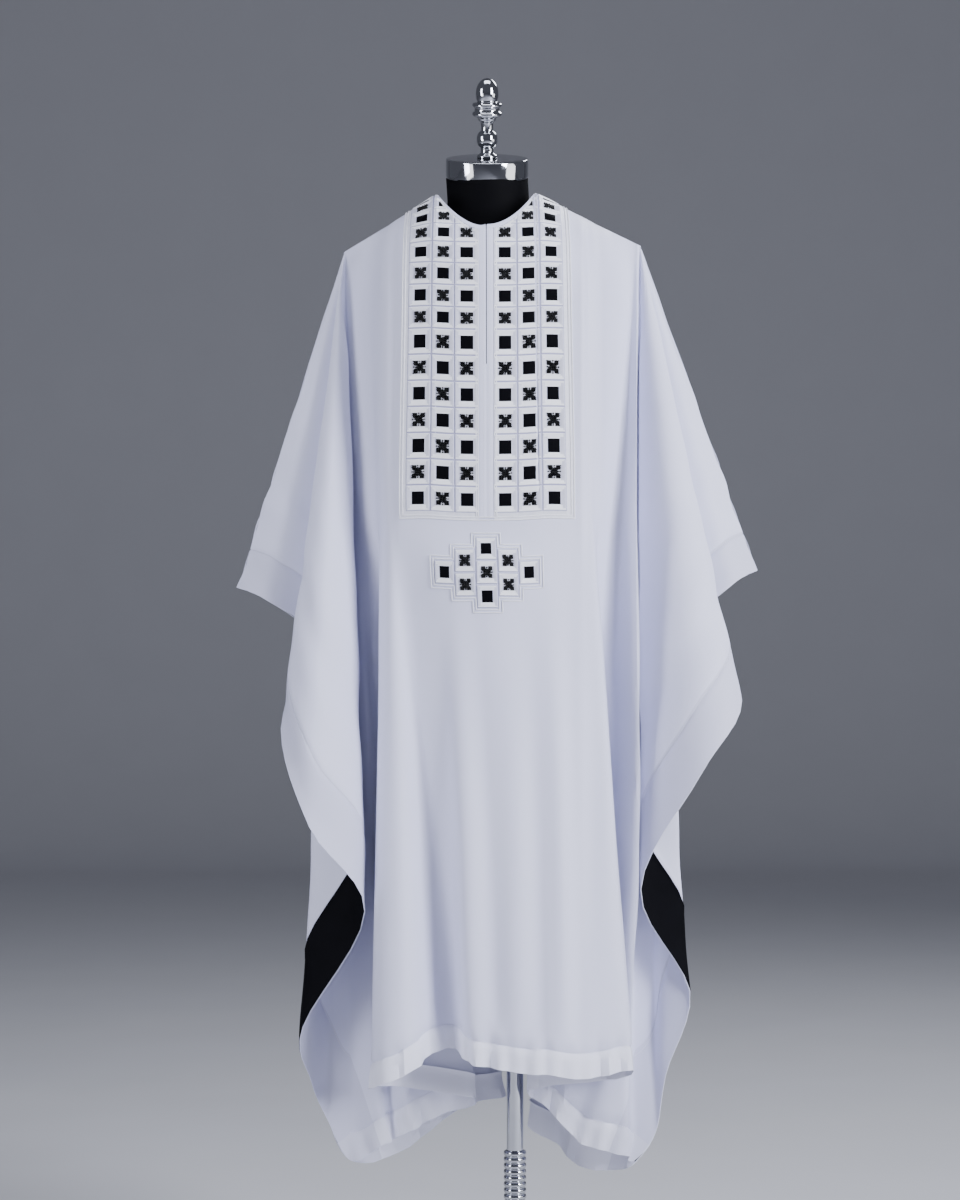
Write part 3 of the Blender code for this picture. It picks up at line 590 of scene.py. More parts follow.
def turned(name, profile, finish, sides=96, bore=False, place=None, sharp=35):
    """A solid turned about Z from (radius, z) points, listed top to bottom down its outer side. With
    bore, the profile is a closed outline, and otherwise it starts and ends on the axis."""
    points, faces, loops = [], [], []
    for radius, z in profile:
        if radius < 1e-6:
            loops.append([len(points)] * sides)
            points.append(Vector((0, 0, z)))
        else:
            loops.append(list(range(len(points), len(points) + sides)))
            turns = (2 * math.pi * k / sides for k in range(sides))
            points += [Vector((radius * math.cos(turn), radius * math.sin(turn), z)) for turn in turns]
    pairs = zip(loops, loops[1:] + loops[:1]) if bore else zip(loops, loops[1:])
    for upper, lower in pairs:
        for k in range(sides):
            n = (k + 1) % sides
            corners = list(dict.fromkeys((upper[k], lower[k], lower[n], upper[n])))
            if len(corners) > 2:
                faces.append(tuple(corners))
    if place is not None:
        points = [place @ point for point in points]
    return add_piece(name, points, faces, finish, sharp=sharp)


def arc(radius, z, width, height, turns):
    """Profile points on an ellipse about (radius, z), at turns from straight up."""
    return [(radius + width * math.sin(turn), z + height * math.cos(turn)) for turn in turns]


def rounded(profile, radius, bends=4):
    """A profile with each inner corner replaced by an arc of about that radius."""
    made = [profile[0]]
    for before, corner, after in zip(profile, profile[1:], profile[2:]):
        back, ahead = Vector(before) - Vector(corner), Vector(after) - Vector(corner)
        reach = min(radius, back.length * 0.45, ahead.length * 0.45)
        start, end = Vector(corner) + back.normalized() * reach, Vector(corner) + ahead.normalized() * reach
        for k in range(bends + 1):
            t = k / bends
            made.append(tuple(start * (1 - t) ** 2 + Vector(corner) * 2 * t * (1 - t) + end * t**2))
    return made + [profile[-1]]


# ---------------------------------------------------------------- finishes


class Reading:
    """A value that changes over a surface. Arithmetic on it adds Math nodes."""

    def __init__(self, finish, socket):
        self.finish, self.socket = finish, socket

    def maths(self, operation, first, second=0.0):
        return self.finish.node("ShaderNodeMath", {"operation": operation}, {0: first, 1: second})


def add_operators(name, operation):
    """Gives Reading an operator for both orders of its two values."""
    setattr(Reading, f"__{name}__", lambda one, other: one.maths(operation, one, other))
    setattr(Reading, f"__r{name}__", lambda one, other: one.maths(operation, other, one))


for operator in (("add", "ADD"), ("sub", "SUBTRACT"), ("mul", "MULTIPLY")):
    add_operators(*operator)


class Finish:
    """A material whose varying inputs are made node by node."""

    def __init__(self, name, constants):
        self.material = bpy.data.materials.new(name)
        self.material.use_nodes = True
        self.tree = self.material.node_tree
        self.shader = self.tree.nodes["Principled BSDF"]
        for label, value in constants.items():
            self.feed(label, value)

    def feed(self, label, value, node=None):
        socket = (node or self.shader).inputs[label]
        if isinstance(value, Reading):
            self.tree.links.new(value.socket, socket)
        elif socket.type == "RGBA":
            socket.default_value = (*value, 1) if len(value) == 3 else value
        else:
            socket.default_value = value

    def node(self, kind, settings=None, inputs=None, output=0):
        made = self.tree.nodes.new(kind)
        for label, value in (settings or {}).items():
            setattr(made, label, value)
        for label, value in (inputs or {}).items():
            self.feed(label, value, made)
        return Reading(self, made.outputs[output])

    def place(self):
        return self.node("ShaderNodeTexCoord", output="Object")

    def cut(self):
        """The flat cut's coordinates, in metres."""
        uv = self.node("ShaderNodeTexCoord", output="UV")
        return tuple(self.node("ShaderNodeSeparateXYZ", None, {0: uv}, axis) for axis in "XY")

    def noise(self, place, scale, detail=2.0):
        return self.node("ShaderNodeTexNoise", None, {"Vector": place, "Scale": scale, "Detail": detail})

    def sine(self, value):
        return self.node("ShaderNodeMath", {"operation": "SINE"}, {0: value})

    def step(self, value, low, high):
        """0 below low, 1 above high."""
        inputs = {"Value": value, "From Min": low, "From Max": high}
        return self.node("ShaderNodeMapRange", {"interpolation_type": "SMOOTHSTEP"}, inputs)

    def mix(self, share, low, high):
        return self.node("ShaderNodeMix", {"data_type": "RGBA"}, {0: share, 6: low, 7: high}, 2)

    def relief(self, height):
        """Bumps of a height given in metres."""
        inputs = {"Height": height, "Strength": 1.0, "Distance": 1.0}
        self.feed("Normal", self.node("ShaderNodeBump", None, inputs))


def suiting_finish():
    finish = Finish("white_suiting", {"Sheen Weight": 0.25, "Sheen Roughness": 0.35, "IOR": 1.45})
    finish.shader.inputs["Sheen Tint"].default_value = (0.86, 0.86, 1.0, 1)
    place, (u, v) = finish.place(), finish.cut()
    outwards = finish.node("ShaderNodeMath", {"operation": "ABSOLUTE"}, {0: u})
    band = finish.step(outwards, CUT_WIDTH / 2 - 0.0640, CUT_WIDTH / 2 - 0.0625)
    hem = finish.step(v, CUT_LENGTH * HEM_EDGE, CUT_LENGTH * HEM_EDGE + 0.0015)
    cloud = finish.noise(place, 3.5, 3.0)
    plain = finish.mix(cloud, WHITE, WHITE_SHADED)
    hemmed = finish.mix(hem * 0.8, plain, WHITE_DOUBLED)
    finish.feed("Base Color", finish.mix(band * 0.50, hemmed, WHITE_OVER_BLACK))
    finish.feed("Roughness", 0.46 + 0.10 * finish.noise(place, 60.0))
    twill = finish.sine((u + v * 1.7) * (2 * math.pi / TWILL))
    slub = finish.noise(place, 420.0, 1.0)
    crumple = finish.noise(place, 13.0, 3.0)
    finish.relief(0.000020 * twill + 0.00005 * slub + 0.0013 * crumple)
    return finish.material


def facing_finish():
    finish = Finish("black_facing", {"Specular IOR Level": 0.04})
    place, (u, v) = finish.place(), finish.cut()
    cloud = finish.noise(place, 30.0)
    finish.feed("Base Color", finish.mix(cloud, (0.002, 0.002, 0.003), (0.005, 0.005, 0.007)))
    finish.feed("Roughness", 0.55 + 0.15 * cloud)
    twill = finish.sine((u - v * 1.7) * (2 * math.pi / TWILL))
    finish.relief(0.000025 * twill + 0.0006 * finish.noise(place, 22.0))
    return finish.material


def satin_finish(name, lit_and_shaded, roughness, gloss):
    """Close satin stitches. The attribute "lay" is 0 where the thread lies up and down, and 1 where it
    lies across. It also mixes the colour from the first of the two colours, the thread's own, to the second,
    a painted shade for threads that lie across."""
    finish = Finish(name, {"Specular IOR Level": gloss})
    u, v = finish.cut()
    lay = finish.node("ShaderNodeAttribute", {"attribute_name": "lay"}, output="Fac")
    along = finish.sine(u * (2 * math.pi / THREAD)) * (1 - lay)
    across = finish.sine(v * (2 * math.pi / THREAD)) * lay
    patch = finish.noise(finish.place(), 180.0)
    # painted shade: the second colour (level) is darker and stands in for the light that threads lying
    # across catch less of; the attribute mixes towards it
    upright, level = lit_and_shaded
    finish.feed("Base Color", finish.mix(lay + 0.25 * (patch - 0.5), upright, level))
    finish.feed("Roughness", roughness + 0.12 * patch)
    finish.relief(0.000045 * (along + across) + 0.00008 * patch)
    return finish.material


def plain_finish(name, dark, light, roughness, grain, relief, constants=()):
    """A finish whose colour, roughness and relief all follow one fine grain."""
    finish = Finish(name, dict(constants))
    speck = finish.noise(finish.place(), grain)
    finish.feed("Base Color", finish.mix(speck, dark, light))
    finish.feed("Roughness", roughness * (0.85 + 0.3 * speck))
    finish.relief(relief * speck)
    return finish.material


def jersey_finish():
    finish = Finish("black_jersey", {"Specular IOR Level": 0.05})
    place = finish.place()
    x, z = (finish.node("ShaderNodeSeparateXYZ", None, {0: place}, axis) for axis in "XZ")
    stitches = finish.sine(x * KNIT) * finish.sine(z * KNIT)
    cloud = finish.noise(place, 40.0)
    finish.feed("Base Color", finish.mix(cloud, (0.0015, 0.0015, 0.002), (0.003, 0.003, 0.004)))
    finish.feed("Roughness", 0.62 + 0.15 * cloud)
    finish.relief(0.00003 * stitches + 0.0001 * cloud)
    return finish.material


WHITE, WHITE_SHADED = (0.73, 0.735, 0.90), (0.68, 0.685, 0.865)
WHITE_DOUBLED = (0.83, 0.83, 0.95)
WHITE_OVER_BLACK = (0.50, 0.50, 0.64)
TWILL, THREAD = 0.0011, 0.0009  # spacing of the twill lines and of the satin threads
KNIT = 2600  # radians per metre of the jersey's rows of stitches

suiting = suiting_finish()
facing_cloth = facing_finish()
# the white satin's second colour, a lavender grey, is painted shade on the same white thread
white_satin = satin_finish("white_satin", ((0.93, 0.93, 0.98), (0.36, 0.36, 0.54)), 0.34, 0.45)
black_satin = satin_finish("black_satin", ((0.001, 0.001, 0.002), (0.003, 0.003, 0.005)), 0.55, 0.04)
white_thread = plain_finish("white_thread", (0.70, 0.70, 0.82), (0.84, 0.84, 0.92), 0.45, 900.0, 0.0001)
bead_black = ((0.001, 0.001, 0.002), (0.004, 0.004, 0.005))
black_bead = plain_finish("black_bead", *bead_black, 0.30, 300.0, 0.00002, {"Specular IOR Level": 0.25})
chrome = plain_finish("chrome", (0.50, 0.51, 0.54), (0.57, 0.58, 0.61), 0.07, 35.0, 0.0, {"Metallic": 1.0})
jersey = jersey_finish()


# ---------------------------------------------------------------- repeated things


def growth_tree(name, sizes):
    """A geometry tree with its sockets, and a function that adds a node to it."""
    tree = bpy.data.node_groups.new(name, "GeometryNodeTree")
    sockets = tree.interface
    sockets.new_socket("Geometry", in_out="INPUT", socket_type="NodeSocketGeometry")
    for label in sizes:
        sockets.new_socket(label, in_out="INPUT", socket_type="NodeSocketFloat")
    sockets.new_socket("Finish", in_out="INPUT", socket_type="NodeSocketMaterial")
    sockets.new_socket("Geometry", in_out="OUTPUT", socket_type="NodeSocketGeometry")
    source = tree.nodes.new("NodeGroupInput").outputs

    def node(kind, settings=None, inputs=None):
        made = tree.nodes.new(kind)
        for label, value in (settings or {}).items():
            setattr(made, label, value)
        for label, value in (inputs or {}).items():
            if isinstance(value, bpy.types.NodeSocket):
                tree.links.new(value, made.inputs[label])
            else:
                made.inputs[label].default_value = value
        return made.outputs

    return tree, source, node


def finish_tree(tree, source, node, instances):
    realized = node("GeometryNodeRealizeInstances", None, {"Geometry": instances})["Geometry"]
    smooth = node("GeometryNodeSetShadeSmooth", None, {0: realized})[0]
    finished = node("GeometryNodeSetMaterial", None, {"Geometry": smooth, "Material": source["Finish"]})
    node("NodeGroupOutput", None, {"Geometry": finished["Geometry"]})
    return tree


def stitch_tree():
    """Short rounded stitches, end to end along lines."""
    tree, source, node = growth_tree("stitches", ("Spacing", "Length", "Thickness"))
    curve = node("GeometryNodeMeshToCurve", None, {"Mesh": source["Geometry"]})["Curve"]
    inputs = {"Curve": curve, "Length": source["Spacing"]}
    spaced = node("GeometryNodeResampleCurve", {"mode": "LENGTH"}, inputs)["Curve"]
    sphere = node("GeometryNodeMeshUVSphere", None, {"Segments": 6, "Rings": 4, "Radius": 0.5})["Mesh"]
    ahead = node("GeometryNodeInputTangent")["Tangent"]
    turn = node("FunctionNodeAlignRotationToVector", {"axis": "Z"}, {"Vector": ahead})["Rotation"]
    thickness = source["Thickness"]
    size = node("ShaderNodeCombineXYZ", None, {"X": thickness, "Y": thickness, "Z": source["Length"]})[0]
    inputs = {"Points": spaced, "Instance": sphere, "Rotation": turn, "Scale": size}
    return finish_tree(tree, source, node, node("GeometryNodeInstanceOnPoints", None, inputs)["Instances"])


def bead_tree():
    """A small round bead at every point, a little different in size."""
    tree, source, node = growth_tree("beads", ("Radius",))
    sphere = node("GeometryNodeMeshUVSphere", None, {"Segments": 8, "Rings": 5, "Radius": source["Radius"]})
    size = node("FunctionNodeRandomValue", {"data_type": "FLOAT"}, {2: 0.85, 3: 1.12, "Seed": 5})[1]
    inputs = {"Points": source["Geometry"], "Instance": sphere["Mesh"], "Scale": size}
    return finish_tree(tree, source, node, node("GeometryNodeInstanceOnPoints", None, inputs)["Instances"])


def grown(name, tree, points, edges, finish, **sizes):
    """The plain mesh that a tree makes from points and edges."""
    mesh = bpy.data.meshes.new(name + "_lines")
    mesh.from_pydata([tuple(map(float, point)) for point in points], edges, [])
    holder = bpy.data.objects.new(name + "_lines", mesh)
    bpy.context.collection.objects.link(holder)
    modifier = holder.modifiers.new("grow", "NODES")
    modifier.node_group = tree
    values = {**sizes, "Finish": finish}
    for item in tree.interface.items_tree:
        if item.in_out == "INPUT" and item.name in values:
            modifier[item.identifier] = values[item.name]
    bpy.context.view_layer.update()
    shown = holder.evaluated_get(bpy.context.evaluated_depsgraph_get())
    piece = bpy.data.objects.new(name, bpy.data.meshes.new_from_object(shown))
    bpy.data.objects.remove(holder)
    bpy.context.collection.objects.link(piece)
    return piece


def sewn(name, lines, spacing=0.0036, length=0.0031, thickness=0.0009):
    points, edges = [], []
    for line in lines:
        edges += [(len(points) + k, len(points) + k + 1) for k in range(len(line) - 1)]
        points += list(line)
    sizes = {"Spacing": spacing, "Length": length, "Thickness": thickness}
    return grown(name, stitches, points, edges, white_thread, **sizes)


def corded(name, lines, radius, finish):
    points, faces, flat = tube(lines, radius, 8)
    return add_piece(name, points, faces, finish, flat, sharp=80)


def joined(name, pieces):
    with bpy.context.temp_override(active_object=pieces[0], selected_editable_objects=pieces):
        bpy.ops.object.join()
    pieces[0].name = name
    return pieces[0]


stitches, beads = stitch_tree(), bead_tree()


# ---------------------------------------------------------------- the robe

EDGE_RADIUS = 0.0006  # of the rolled edge at the arm openings and the hem
LINE_STEP = 0.004  # spacing of the points of a line on the chest


def make_panel_pieces(panel, side, slit):
    """The cloth of one panel with its turned-up hem, its black facings and its lines of stitches."""
    half, under = CLOTH / 2, CLOTH / 2 + GAP
    last_rib, last_ring = len(panel.points) - 1, len(panel.rings) - 1
    first_corner, last_corner = panel.names["left_corner"], panel.names["right_corner"]
    band, hem = panel.ring(BAND_EDGE), panel.ring(HEM_EDGE)
    cloth = wall(f"{side}_cloth", panel, (0, last_rib), (0, last_ring), -half, half, suiting, slit)
    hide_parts(f"{side}_panel")
    lined = (-under - LINING, -under)
    lining_end = last_ring - 0.2  # a little inside the edge
    turned_up = wall(f"{side}_hem", panel, (first_corner, last_corner), (hem, lining_end), *lined, suiting)
    facings = []
    for hand, ribs in (("left", (0, first_corner)), ("right", (last_corner, last_rib))):
        name = f"facing_{side}_{hand}"
        piece = wall(f"{name}_cloth", panel, ribs, (band, lining_end), *lined, facing_cloth)
        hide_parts(name)
        facings.append(piece)
    lines = []
    along_facings = [(2, first_corner, band), (last_corner, last_rib - 2, band)]
    for first, last, ring in (*along_facings, (first_corner, last_corner, hem)):
        points, normals, _ = panel.at(np.arange(first, last + 1), ring)
        lines.append(points + normals * (half + 0.0001))
    thread = sewn(f"{side}_stitches", lines)
    edge = corded(f"{side}_edge", [panel.points[3:-3, -1]], EDGE_RADIUS, suiting)
    return cloth, turned_up, facings, [thread, edge]


class Chart:
    """The chest of the front panel, by x at knee level and by distance up the cloth from there."""

    def __init__(self, panel):
        self.panel = panel
        self.first, last = panel.names["left_lobe"], panel.names["right_hang"]
        points = panel.points[self.first : last + 1]
        knee = round(panel.ring(KNEE))
        self.x = points[:, knee, 0]
        lengths = np.linalg.norm(np.diff(points, axis=1), axis=2)
        run = np.concatenate([np.zeros((len(points), 1)), np.cumsum(lengths, axis=1)], axis=1)
        self.heights = run[:, knee : knee + 1] - run

    def rib(self, x):
        return np.interp(x, self.x, np.arange(len(self.x)))

    def top(self, x):
        """Where the cloth ends above x, at the neck hole or the shoulder fold."""
        return np.interp(self.rib(x), np.arange(len(self.x)), self.heights[:, 0])

    def at(self, x, height, lift=0.0):
        x, height = np.broadcast_arrays(np.asarray(x, float), np.asarray(height, float))
        ring = np.zeros(x.shape)
        count = self.heights.shape[1]
        for value in np.unique(x):
            rib = float(self.rib(value))
            i = min(int(rib), len(self.x) - 2)
            table = self.heights[i] * (1 - rib + i) + self.heights[i + 1] * (rib - i)
            chosen = x == value
            ring[chosen] = np.interp(-height[chosen], -table, np.arange(count))
        points, normals, _ = self.panel.at(self.rib(x) + self.first, ring)
        return points + normals * np.asarray(lift)[..., None]

    def line(self, corners, lift):
        """A line of points on the cloth through corners given as x and height."""
        spots = []
        for (x, height), (next_x, next_height) in zip(corners, corners[1:]):
            across, up = next_x - x, next_height - height
            count = max(1, round(math.hypot(across, up) / LINE_STEP))
            spots += [(x + across * k / count, height + up * k / count) for k in range(count)]
        spots.append(corners[-1])
        spots = np.array(spots)
        return self.at(spots[:, 0], spots[:, 1], lift)


CELL_LINES = (0.0, 0.14, 0.28, 0.50, 0.53, 0.66, 0.80, 0.90, 0.945, 1.0)  # shares of a cell's half width
CELL_HEIGHTS = (0.0012, 0.0012, 0.0011, 0.0009, 0.0006, 0.0012, 0.0020, 0.0022, 0.0012, 0.0008)
STAR_HEIGHTS = (0.0007, 0.0007, 0.0007, 0.0005, 0.0006, 0.0012, 0.0020, 0.0022, 0.0012, 0.0008)
BLACK_SHARE = 0.515  # where the black middle of a cell ends
GROOVE_SHARE = 0.950  # where the thin groove round each cell starts
OUTSIDE = 1.001  # beyond it is the plain satin ground
GROUND_HEIGHT = 0.0008  # of the plain satin
BLACK_LAY_SHADE, SIDE_LAY_SHADE, GROOVE_LAY_SHADE, GROUND_LAY_SHADE = 0.2, 0.50, 1.0, 0.3  # how far the threads lie across, and with it how much painted shade the satin gets: most in the groove round each cell, then on the sides of the frames and on the ground
UNDER_BINDING = 0.0100  # how far the neck binding reaches down from the neck hole's edge
ON_CLOTH = CLOTH / 2 + 0.00015  # height of what lies on a panel, above its middle surface
STAR = (
    "##.#.##",
    "#######",
    ".#####.",
    "#######",
    ".#####.",
    "#######",
    "##.#.##",
)
BEAD_RADIUS, BEAD_PITCH, BEAD_SCATTER = 0.00125, 0.00285, 0.0004
BELOW_NECK = 0.012  # beads stay this far below the end of the cloth


def lines_of(cells):
    """The grid lines of a row of cells, given as middles and half widths."""
    shares = [-share for share in CELL_LINES[::-1]] + list(CELL_LINES[1:])
    return sorted({round(middle + half * share, 6) for middle, half in cells for share in shares})


def satin_block(name, chart, columns, rows, solid, edges):
    """Framed cells on a satin ground. columns and rows hold middles and half widths, and edges are
    the ground's low and high x and its low and high height."""
    low_x, high_x, low_y, top = edges
    xs = np.array(sorted({low_x, high_x, *[x for x in lines_of(columns) if low_x < x < high_x]}))
    ys = np.array(sorted({low_y, *[y for y in lines_of(rows) if low_y < y < top], top}))

    def cell(x, y):
        shares = []
        for value, cells in ((x, np.array(columns)), (y, np.array(rows))):
            shares.append(np.abs(value[..., None] - cells[:, 0]) / cells[:, 1])
        column, row = (np.argmin(share, axis=-1) for share in shares)
        across, up = (np.min(share, axis=-1) for share in shares)
        notch = (np.maximum(across, up) > CELL_LINES[2]) & (np.minimum(across, up) < CELL_LINES[1])
        return np.maximum(across, up), across > up, solid(column, row), notch

    x, y = np.meshgrid(xs, ys, indexing="ij")
    share, _, filled, _ = cell(x, y)
    heights = (np.interp(share, CELL_LINES, table) for table in (CELL_HEIGHTS, STAR_HEIGHTS))
    height = np.where(share > OUTSIDE, GROUND_HEIGHT, np.where(filled, *heights))
    middle_x = (x[:-1, :-1] + x[1:, 1:]) / 2
    middle_y = (y[:-1, :-1] + y[1:, 1:]) / 2
    share, sideways, filled, notch = cell(middle_x, middle_y)
    slots = (share < BLACK_SHARE) & (filled | ~notch)
    # painted shade: the sides of each frame get half, the groove round each cell the full lavender shade,
    # and the plain ground some, though the white thread is the same
    lay_shades = np.where(share < BLACK_SHARE, BLACK_LAY_SHADE, SIDE_LAY_SHADE * sideways)
    lay_shades = np.where(share > GROOVE_SHARE, GROOVE_LAY_SHADE, lay_shades)
    lay_shades = np.where(share > OUTSIDE, GROUND_LAY_SHADE, lay_shades)
    at_neck = np.abs(middle_x - NECK_MIDDLE) < NECK_HALF
    keep = middle_y < chart.top(middle_x) - np.where(at_neck, UNDER_BINDING, 0.003)
    outer, inner = chart.at(x, y, ON_CLOTH + height), chart.at(x, y, np.full(x.shape, ON_CLOTH))
    flat = np.stack([x, y], axis=-1)
    return shell(name, outer, inner, [white_satin, black_satin], 1, flat, keep, slots, lay_shades, sharp=28)


def star_points(chart, x, y, scale):
    """Where the beads of a star cell lie."""
    points = []
    middle = len(STAR) // 2
    for row, marks in enumerate(STAR):
        for column, mark in enumerate(marks):
            spot_y = y + (middle - row) * BEAD_PITCH * scale
            if mark == "#" and spot_y < chart.top(x) - BELOW_NECK:
                shift = scatter.uniform(-BEAD_SCATTER, BEAD_SCATTER, 3)
                spot_x = x + (column - middle) * BEAD_PITCH * scale
                lift = ON_CLOTH + 0.0005 + BEAD_RADIUS * 0.8
                points.append(chart.at(spot_x + shift[0], spot_y + shift[1], lift + abs(shift[2])))
    return points


scatter = np.random.default_rng(7)

CELL_HALF = 0.0178  # half width of a chest cell
LEFT_COLUMNS, RIGHT_COLUMNS = (-0.1424, -0.1067, -0.0710), (-0.0154, 0.0203, 0.0560)
LOW_HALF, HIGH_HALF = 0.01905, 0.0160  # half heights of the cells on the chest and up to the shoulder
ROWS = [(0.0184 + 2 * LOW_HALF * k, LOW_HALF) for k in range(7)]
ROWS += [(ROWS[-1][0] + LOW_HALF + HIGH_HALF * (2 * k + 1), HIGH_HALF) for k in range(9)]
BORDER_LEFT, BORDER_RIGHT, BORDER_LOW = -0.1690, 0.0850, -0.0110
PLACKET, PLACKET_MIDDLE = (-0.0535, -0.0325), (-0.0447, -0.0423)  # x of its sides and beside its fold
BINDING_WIDTH, BINDING_RINGS = 0.0090, 12  # of the neck bindings, and the rings of a panel that they reach
CORD_RADIUS = 0.0009  # of the embroidery's outlines
MOTIF_COLUMNS, MOTIF_HALF = (-0.1065, -0.0757, -0.0449, -0.0141, 0.0167), (0.0148, 0.0168)
MOTIF_MIDDLE = -0.089  # height of the motif's middle row
# The motif's cells in order: column, height and whether the middle is a black square
MOTIF_CELLS = (
    (2, -0.054, True),
    (2, MOTIF_MIDDLE, False),
    (2, -0.124, True),
    (1, -0.0715, False),
    (1, -0.1065, False),
    (3, -0.0715, False),
    (3, -0.1065, False),
    (0, MOTIF_MIDDLE, True),
    (4, MOTIF_MIDDLE, True),
)
MOTIF_STAR = 0.80  # size of the motif's stars against the chest's
BLOCK_TOP = 0.56  # above the end of the cloth, which is what really ends the blocks and the placket


def chest_corners(inset):
    left, right, low = BORDER_LEFT + inset, BORDER_RIGHT - inset, BORDER_LOW + inset
    return [(left, chart.top(left) - 0.001), (left, low), (right, low), (right, chart.top(right) - 0.001)]


def motif_corners(out):
    """The stepped outline round the lower motif's cells."""
    middle, pitch = MOTIF_COLUMNS[2], MOTIF_COLUMNS[1] - MOTIF_COLUMNS[0]
    widths = [pitch * (k + 0.5) - 0.0006 + out for k in range(3)]
    tops = [-0.0365 + out, -0.0540 + out, -0.0715 + out]
    lows = [-0.1415 - out, -0.1240 - out, -0.1065 - out]
    steps = ((0, 0), (0, 1), (1, 1), (1, 2), (2, 2))  # the width and the height at each corner
    side = [(widths[i], tops[j]) for i, j in steps]
    side += [(widths[i], lows[j]) for i, j in reversed(steps)]
    whole = side + [(-x, y) for x, y in reversed(side)]
    whole.append(whole[0])
    return [(middle + x, y) for x, y in whole]


def make_embroidery(chart):
    """The chest blocks, the lower motif, the corded outlines and the beads of the star cells."""
    pieces, spots = [], []
    low = BORDER_LOW - 0.001
    for name, columns, low_x, high_x in (
        ("chest_embroidery_left", LEFT_COLUMNS, BORDER_LEFT - 0.001, PLACKET[0] - 0.0004),
        ("chest_embroidery_right", RIGHT_COLUMNS, PLACKET[1] + 0.0004, BORDER_RIGHT + 0.001),
    ):
        spans, edges = [(x, CELL_HALF) for x in columns], (low_x, high_x, low, BLOCK_TOP)
        piece = satin_block(f"{name}_satin", chart, spans, ROWS, lambda c, r: (c + r) % 2 == 0, edges)
        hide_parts(name)
        pieces.append(piece)
        for column, x in enumerate(columns):
            for row, (y, half) in enumerate(ROWS):
                if (column + row) % 2:
                    spots += star_points(chart, x, y, half / LOW_HALF)
    cells = []
    for column, y, filled in MOTIF_CELLS:
        x = MOTIF_COLUMNS[column]
        edges = (x - MOTIF_HALF[0], x + MOTIF_HALF[0], y - MOTIF_HALF[1], y + MOTIF_HALF[1])
        spans = [(x, MOTIF_HALF[0])], [(y, MOTIF_HALF[1])]
        cells.append(satin_block("cell", chart, *spans, lambda c, r, f=filled: np.full(c.shape, f), edges))
        if not filled:
            spots += star_points(chart, x, y, MOTIF_STAR)
    motif = joined("lower_motif_satin", cells)
    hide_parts("lower_motif")
    pieces.append(motif)
    lift = ON_CLOTH + 0.0008 + CORD_RADIUS * 0.4
    low_lift = ON_CLOTH + CORD_RADIUS * 0.7
    lines = [chart.line(chest_corners(inset), lift) for inset in (0.0, 0.0042)]
    for x in [PLACKET[0] - out for out in (0.0012, 0.0040)] + [PLACKET[1] + out for out in (0.0012, 0.0040)]:
        lines.append(chart.line([(x, chart.top(x) - 0.009), (x, BORDER_LOW + 0.006)], lift))
    for low_x, high_x in ((-0.113, PLACKET[0] - 0.001), (PLACKET[1] + 0.001, 0.026)):
        for below in (0.0112, 0.0138):
            xs = np.linspace(low_x, high_x, 24)
            lines.append(chart.at(xs, chart.top(xs) - below, lift))
    lines += [chart.line(motif_corners(out), low_lift) for out in (0.0018, 0.0062)]
    pieces.append(corded("embroidery_cords", lines, CORD_RADIUS, white_satin))
    dots = grown("embroidery_beads", beads, spots, [], black_bead, Radius=BEAD_RADIUS)
    return pieces + [dots]


def make_neck(front, back):
    """The neck bindings: flat rolled strips that follow the edge of the neck hole."""
    pieces = []
    rounding = np.array([(t, math.sqrt(max(0.0, 1 - (2 * t - 1) ** 4))) for t in np.linspace(0, 1, 11)])
    for name, panel, first, last in (
        ("neck_binding_left", front, "neck_turn_left", "centre"),
        ("neck_binding_right", front, "centre", "neck_turn_right"),
        ("neck_binding_back", back, "neck_left", "neck_right"),
    ):
        ribs = np.arange(panel.names[first], panel.names[last] + 1).astype(float)
        steps = np.linalg.norm(np.diff(panel.points[:, :BINDING_RINGS], axis=1), axis=2).mean(axis=0)
        run = np.concatenate([[0], np.cumsum(steps)])
        rings = np.interp(BINDING_WIDTH * rounding[:, 0], run, range(BINDING_RINGS))
        rib_grid, ring_grid = np.meshgrid(ribs, rings, indexing="ij")
        points, normals, flat = panel.at(rib_grid, ring_grid)
        if panel is front:
            shift = SLIT_HALF * (-1 if first != "centre" else 1)
            at_slit = rib_grid == panel.names["centre"]
            points[..., 0] += np.where(at_slit, shift, 0)
        height = ON_CLOTH + 0.0004 + 0.0016 * rounding[:, 1]
        outer = points + normals * height[None, :, None]
        piece = shell(f"{name}_roll", outer, points + normals * ON_CLOTH, suiting, panel.facing, flat)
        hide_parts(name)
        pieces.append(piece)
    return pieces


